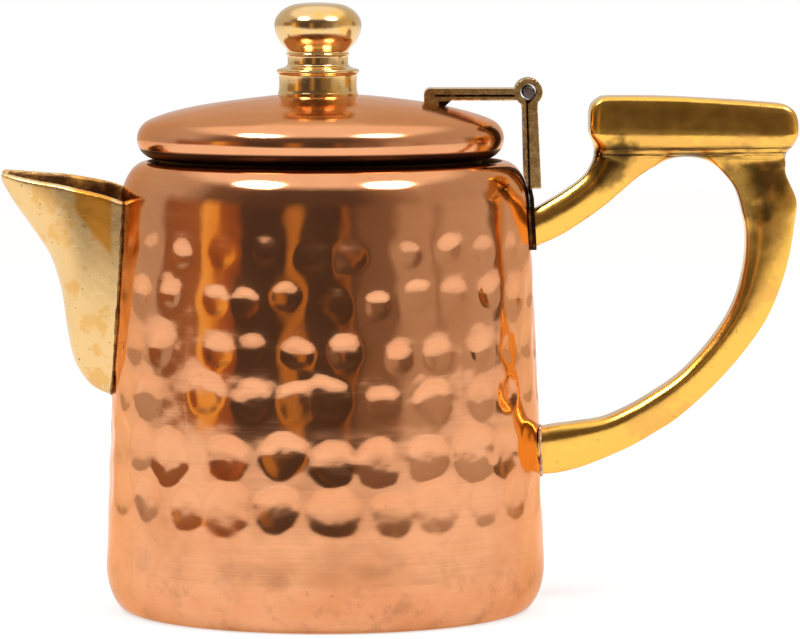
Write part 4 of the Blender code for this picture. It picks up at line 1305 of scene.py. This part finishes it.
class JUG_OT_knob(bpy.types.Operator):
    """Turn the brass knob, its slotted screw and its washer"""

    bl_idname = "jug.knob"
    bl_label = "Knob"

    def execute(self, context):
        s = context.scene.jug_lid
        wide = (KNOB_HIGH.x - KNOB_LOW.x) / 2 / max(r for r, z in KNOB_PROFILE)
        tall = (KNOB_HIGH.z - LID_HIGH.z) / KNOB_PROFILE[0][1]
        side = [(r * wide, LID_HIGH.z + z * tall) for r, z in smooth_rows(KNOB_PROFILE, 3)]
        side[0] = (0.0, KNOB_HIGH.z)
        sunk = LID_HIGH.z - s.knob_sink
        outline = side + [(side[-1][0], sunk), (0.0, sunk)]
        knob = shown("lid_knob", self.turned("lid_knob", outline, 144), [brass("knob_brass")])
        place(knob, "lid", "handle_brass", "knob")

        finish = brass("fixing_brass")
        outer = (WASHER_HIGH.x - WASHER_LOW.x) / 2
        low = WASHER_LOW.z
        outline = [(outer, WASHER_HIGH.z), (outer, low + WASHER_EDGE), (outer - WASHER_EDGE, low),
                   (SCREW_RADIUS, low), (SCREW_RADIUS, WASHER_HIGH.z)]
        washer = shown("knob_plate", self.turned("knob_plate", outline, 64), [finish], 30)
        place(washer, "lid", "fixing_brass", "knob_washer")

        head, low = (SCREW_HIGH.x - SCREW_LOW.x) / 2, SCREW_LOW.z
        seat = low + 2 * SCREW_CROWN
        crown = arc((head / 2, low + SCREW_CROWN), (head / 2, SCREW_CROWN), 0, -90, 8)
        outline = ([(0.0, LID_HIGH.z), (SCREW_RADIUS, LID_HIGH.z), (SCREW_RADIUS, seat),
                    (head, seat)] + crown + [(0.0, low)])
        bm = bmesh.new()
        extruded(bm, rectangle(KNOB_X - 8 * MM, low - SCREW_CROWN,
                               KNOB_X + 8 * MM, low + SCREW_CROWN), -SLOT_HALF, SLOT_HALF)
        mesh = trimmed(self.turned("screw_raw", outline, 64), "knob_bolt", [scratch("slot", bm)])
        screw = shown("knob_bolt", mesh, [finish], 30)
        place(screw, "lid", "fixing_brass", "knob_screw")
        return {"FINISHED"}

    def turned(self, name, outline, steps):
        """A mesh turned about the knob's axis."""
        return turned_mesh(name, outline, steps, (KNOB_X, 0.0))


BEAD_LIFT = 0.05 * MM              # how far a bead's middle stands off the copper
BEAD_STEP = 0.4 * MM               # length of one ring of a bead
ROOT_SHARE = 0.93                  # half width of the handle's roots, of the loop's
# The solder round the handle's roots, low and high, in the handle's millimetres
ROOTS = {"lower_solder": (0.0, 9.3), "upper_solder": (45.4, 53.0)}


def on_wall(body, side, y, z):
    """A point of a bead's middle, on the given side of the body."""
    r = body_radius(body, z) + BEAD_LIFT
    return (side * math.sqrt(r * r - y * y), y, z)


class JUG_OT_seams(bpy.types.Operator):
    """Run the solder beads along the roots of the spout and the handle"""

    bl_idname = "jug.seams"
    bl_label = "Solder beads"

    def execute(self, context):
        body, s = context.scene.jug_body, context.scene.jug_fittings
        dark, silvery = dark_inside(), clouded("solder")
        group = bead_tree()
        root = spout_ring(body, s, SPOUT_SECTIONS[1], 0.0, 0.0, 48)
        paths = {"spout_solder": [on_wall(body, -1, p.y, p.z) for p in root]}
        half = s.handle_half_width * ROOT_SHARE
        for name, reach in ROOTS.items():
            low, high = (handle_place(body, 0.0, z)[1] for z in reach)
            corners = [(-half, low), (-half, high), (half, high), (half, low), (-half, low)]
            path = [on_wall(body, 1, y0 + (y1 - y0) * t, z0 + (z1 - z0) * t)
                    for (y0, z0), (y1, z1) in zip(corners, corners[1:])
                    for t in np.linspace(0, 1, 10)[:-1]]
            paths[name] = path + path[:1]
        for name, path in paths.items():
            finish = silvery if name == "lower_solder" else dark
            mesh = bpy.data.meshes.new(name)
            mesh.from_pydata(path, [(i, i + 1) for i in range(len(path) - 1)], [])
            line = linked(name + "_path", mesh)
            grow(line, group, {"Radius": s.bead_radius, "Step": BEAD_STEP, "Finish": finish})
            mesh = settled(line, name)
            mesh.materials.clear()
            bead = shown(name, mesh, [finish], 60)
            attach(bead, "jug")
        return {"FINISHED"}


WHITE = (1.0, 1.0, 1.0, 1.0)
TABLE_GREY, TABLE_GLOW = (0.40, 0.40, 0.40, 1.0), 0.64
SOFTBOX_TURN, SOFTBOX_LIFT = 48, 49                # degrees, about and above the aim
SOFTBOX_AIM, SOFTBOX_SIZE, SOFTBOX_WATTS = 0.08, (0.42, 0.30), 5.0
# What the metal mirrors round about, as degrees (0 before the jug, + on the handle's side)
# and colours, for the low walls and the higher ones, and the degrees of lift over which
# each gives way to the next, up to the pale ceiling.
LOWER_STOPS = (
    (-180, (0.70, 0.68, 0.66)), (-104, (0.62, 0.58, 0.54)), (-99, (0.34, 0.20, 0.12)),
    (-72, (0.42, 0.22, 0.10)), (-69, (1.10, 0.80, 0.24)), (-62, (0.95, 0.58, 0.13)),
    (-59, (0.46, 0.20, 0.08)), (-50, (0.30, 0.14, 0.07)), (-47, (0.10, 0.08, 0.07)),
    (-23, (0.09, 0.07, 0.06)), (-18, (0.52, 0.30, 0.10)), (-13, (0.58, 0.34, 0.10)),
    (-10, (0.10, 0.08, 0.07)), (9, (0.09, 0.07, 0.055)), (12, (0.42, 0.22, 0.09)),
    (15, (0.13, 0.10, 0.08)), (21, (0.25, 0.19, 0.15)), (38, (0.28, 0.21, 0.16)),
    (45, (0.56, 0.49, 0.41)), (60, (0.60, 0.53, 0.45)), (66, (0.44, 0.36, 0.29)),
    (72, (0.62, 0.55, 0.47)), (104, (0.70, 0.65, 0.59)), (107, (0.14, 0.09, 0.06)),
    (111, (0.18, 0.12, 0.08)), (117, (0.62, 0.42, 0.17)), (124, (0.72, 0.68, 0.63)),
    (180, (0.70, 0.68, 0.66)),
)
UPPER_STOPS = (
    (-180, (0.72, 0.70, 0.67)), (-92, (0.66, 0.62, 0.57)), (-70, (0.24, 0.17, 0.13)),
    (-45, (0.13, 0.10, 0.08)), (20, (0.13, 0.10, 0.08)), (38, (0.28, 0.21, 0.16)),
    (62, (0.58, 0.51, 0.43)), (180, (0.72, 0.70, 0.67)),
)
UPPER_WALLS, CEILING = (9, 20), (40, 52)
CEILING_TINT = (1.22, 1.20, 1.16, 1.0)


class JUG_OT_stage(bpy.types.Operator):
    """Set the pale table, the soft light and the camera"""

    bl_idname = "jug.stage"
    bl_label = "Stage"

    def execute(self, context):
        s = context.scene.jug_studio
        self.table(s)
        self.surroundings(context)
        self.softboxes()
        view = bpy.data.cameras.new("camera")
        view.lens = s.lens
        view.clip_start = 0.01
        camera = linked("camera", view)
        camera.location = (s.aim_x, -s.distance, s.camera_height)
        aim = Vector((s.aim_x, 0.0, s.aim_z)) - camera.location
        camera.rotation_euler = aim.to_track_quat("-Z", "Y").to_euler()
        context.scene.camera = camera
        context.scene.view_settings.view_transform = "Standard"
        return {"FINISHED"}

    def table(self, s):
        """A pale table top whose front edge turns up in front of the jug."""
        mesh = bpy.data.meshes.new("table")
        half = s.table_half
        rows = ((-s.table_front, s.table_lip), (-s.table_front, 0.0), (half, 0.0))
        mesh.from_pydata([(x, y, z) for y, z in rows for x in (-half, half)], [],
                         [(0, 1, 3, 2), (2, 3, 5, 4)])
        pale = bpy.data.materials.new("pale_table")
        pale.use_nodes = True
        shader = pale.node_tree.nodes["Principled BSDF"]
        for name, value in (("Base Color", TABLE_GREY), ("Roughness", 0.9),
                            ("Specular IOR Level", 0.0), ("Emission Color", WHITE),
                            ("Emission Strength", TABLE_GLOW)):
            shader.inputs[name].default_value = value
        mesh.materials.append(pale)
        linked("table", mesh)

    def surroundings(self, context):
        """Pale walls, with the dark of the room and a golden board before the jug."""
        world = bpy.data.worlds.new("studio")
        world.use_nodes = True
        context.scene.world = world
        t = Tree(world.node_tree)
        shader = world.node_tree.nodes["Background"]
        way = t.add("ShaderNodeTexCoord").outputs["Generated"]
        axes = t.add("ShaderNodeSeparateXYZ", {0: way}).outputs
        turn = t.math("ARCTAN2", axes["X"], t.math("MULTIPLY", axes["Y"], -1.0))
        around = t.math("ADD", t.math("DIVIDE", turn, 2 * math.pi), 0.5)

        def walls(stops):
            ramp = t.add("ShaderNodeValToRGB", {0: around})
            marks = ramp.color_ramp.elements
            while len(marks) < len(stops):
                marks.new(0.5)
            for mark, (degrees, tint) in zip(marks, stops):
                mark.position = degrees / 360 + 0.5
                mark.color = (*tint, 1.0)
            return ramp.outputs["Color"]

        lift = t.math("ARCSINE", axes["Z"])
        higher, above = (t.range(lift, *(math.radians(v) for v in edges))
                         for edges in (UPPER_WALLS, CEILING))
        seen = t.add("ShaderNodeLightPath").outputs["Is Camera Ray"]
        room = t.mixed(higher, walls(LOWER_STOPS), walls(UPPER_STOPS))
        room = t.mixed(above, room, CEILING_TINT)
        t.set(shader.inputs["Color"], t.mixed(seen, room, WHITE))
        shader.inputs["Strength"].default_value = 1.0

    def softboxes(self):
        """Two boxes of light high in front of the jug, one on either side."""
        up = math.radians(SOFTBOX_LIFT)
        for name, azimuth in (("softbox_left", -SOFTBOX_TURN), ("softbox_right", SOFTBOX_TURN)):
            turn = math.radians(azimuth)
            away = Vector((math.sin(turn) * math.cos(up), -math.cos(turn) * math.cos(up),
                           math.sin(up)))
            light = bpy.data.lights.new(name, "AREA")
            light.shape = "ELLIPSE"
            light.size, light.size_y = SOFTBOX_SIZE
            light.energy = SOFTBOX_WATTS
            lamp = linked(name, light)
            lamp.location = Vector((0.0, 0.0, SOFTBOX_AIM)) + away * 1.0
            lamp.rotation_euler = (-away).to_track_quat("-Z", "Y").to_euler()


class JUG_PT_panel(bpy.types.Panel):
    """Buttons and sizes of the jug"""

    bl_idname = "JUG_PT_panel"
    bl_label = "Hammered copper jug"
    bl_space_type = "VIEW_3D"
    bl_region_type = "UI"
    bl_category = "Jug"

    def draw(self, context):
        for operator in OPERATORS:
            self.layout.operator(operator.bl_idname)
        for name, group in GROUPS.items():
            box = self.layout.box()
            box.label(text=group.__doc__)
            for key in group.__annotations__:
                box.prop(getattr(context.scene, name), key)


GROUPS = {"jug_body": BodySizes, "jug_lid": LidSizes, "jug_fittings": FittingSizes,
          "jug_finishes": Finishes, "jug_studio": StudioSettings}
OPERATORS = (JUG_OT_body, JUG_OT_spout, JUG_OT_handle, JUG_OT_hinge, JUG_OT_lid,
             JUG_OT_knob, JUG_OT_seams, JUG_OT_stage)


def register():
    for kind in (*GROUPS.values(), *OPERATORS, JUG_PT_panel):
        bpy.utils.register_class(kind)
    for name, group in GROUPS.items():
        setattr(bpy.types.Scene, name, PointerProperty(type=group))


def unregister():
    for name in GROUPS:
        delattr(bpy.types.Scene, name)
    for kind in (JUG_PT_panel, *reversed(OPERATORS), *reversed(GROUPS.values())):
        bpy.utils.unregister_class(kind)


def main():
    register()
    for operator in OPERATORS:
        group, name = operator.bl_idname.split(".")
        getattr(getattr(bpy.ops, group), name)()


if __name__ == "__main__":
    main()
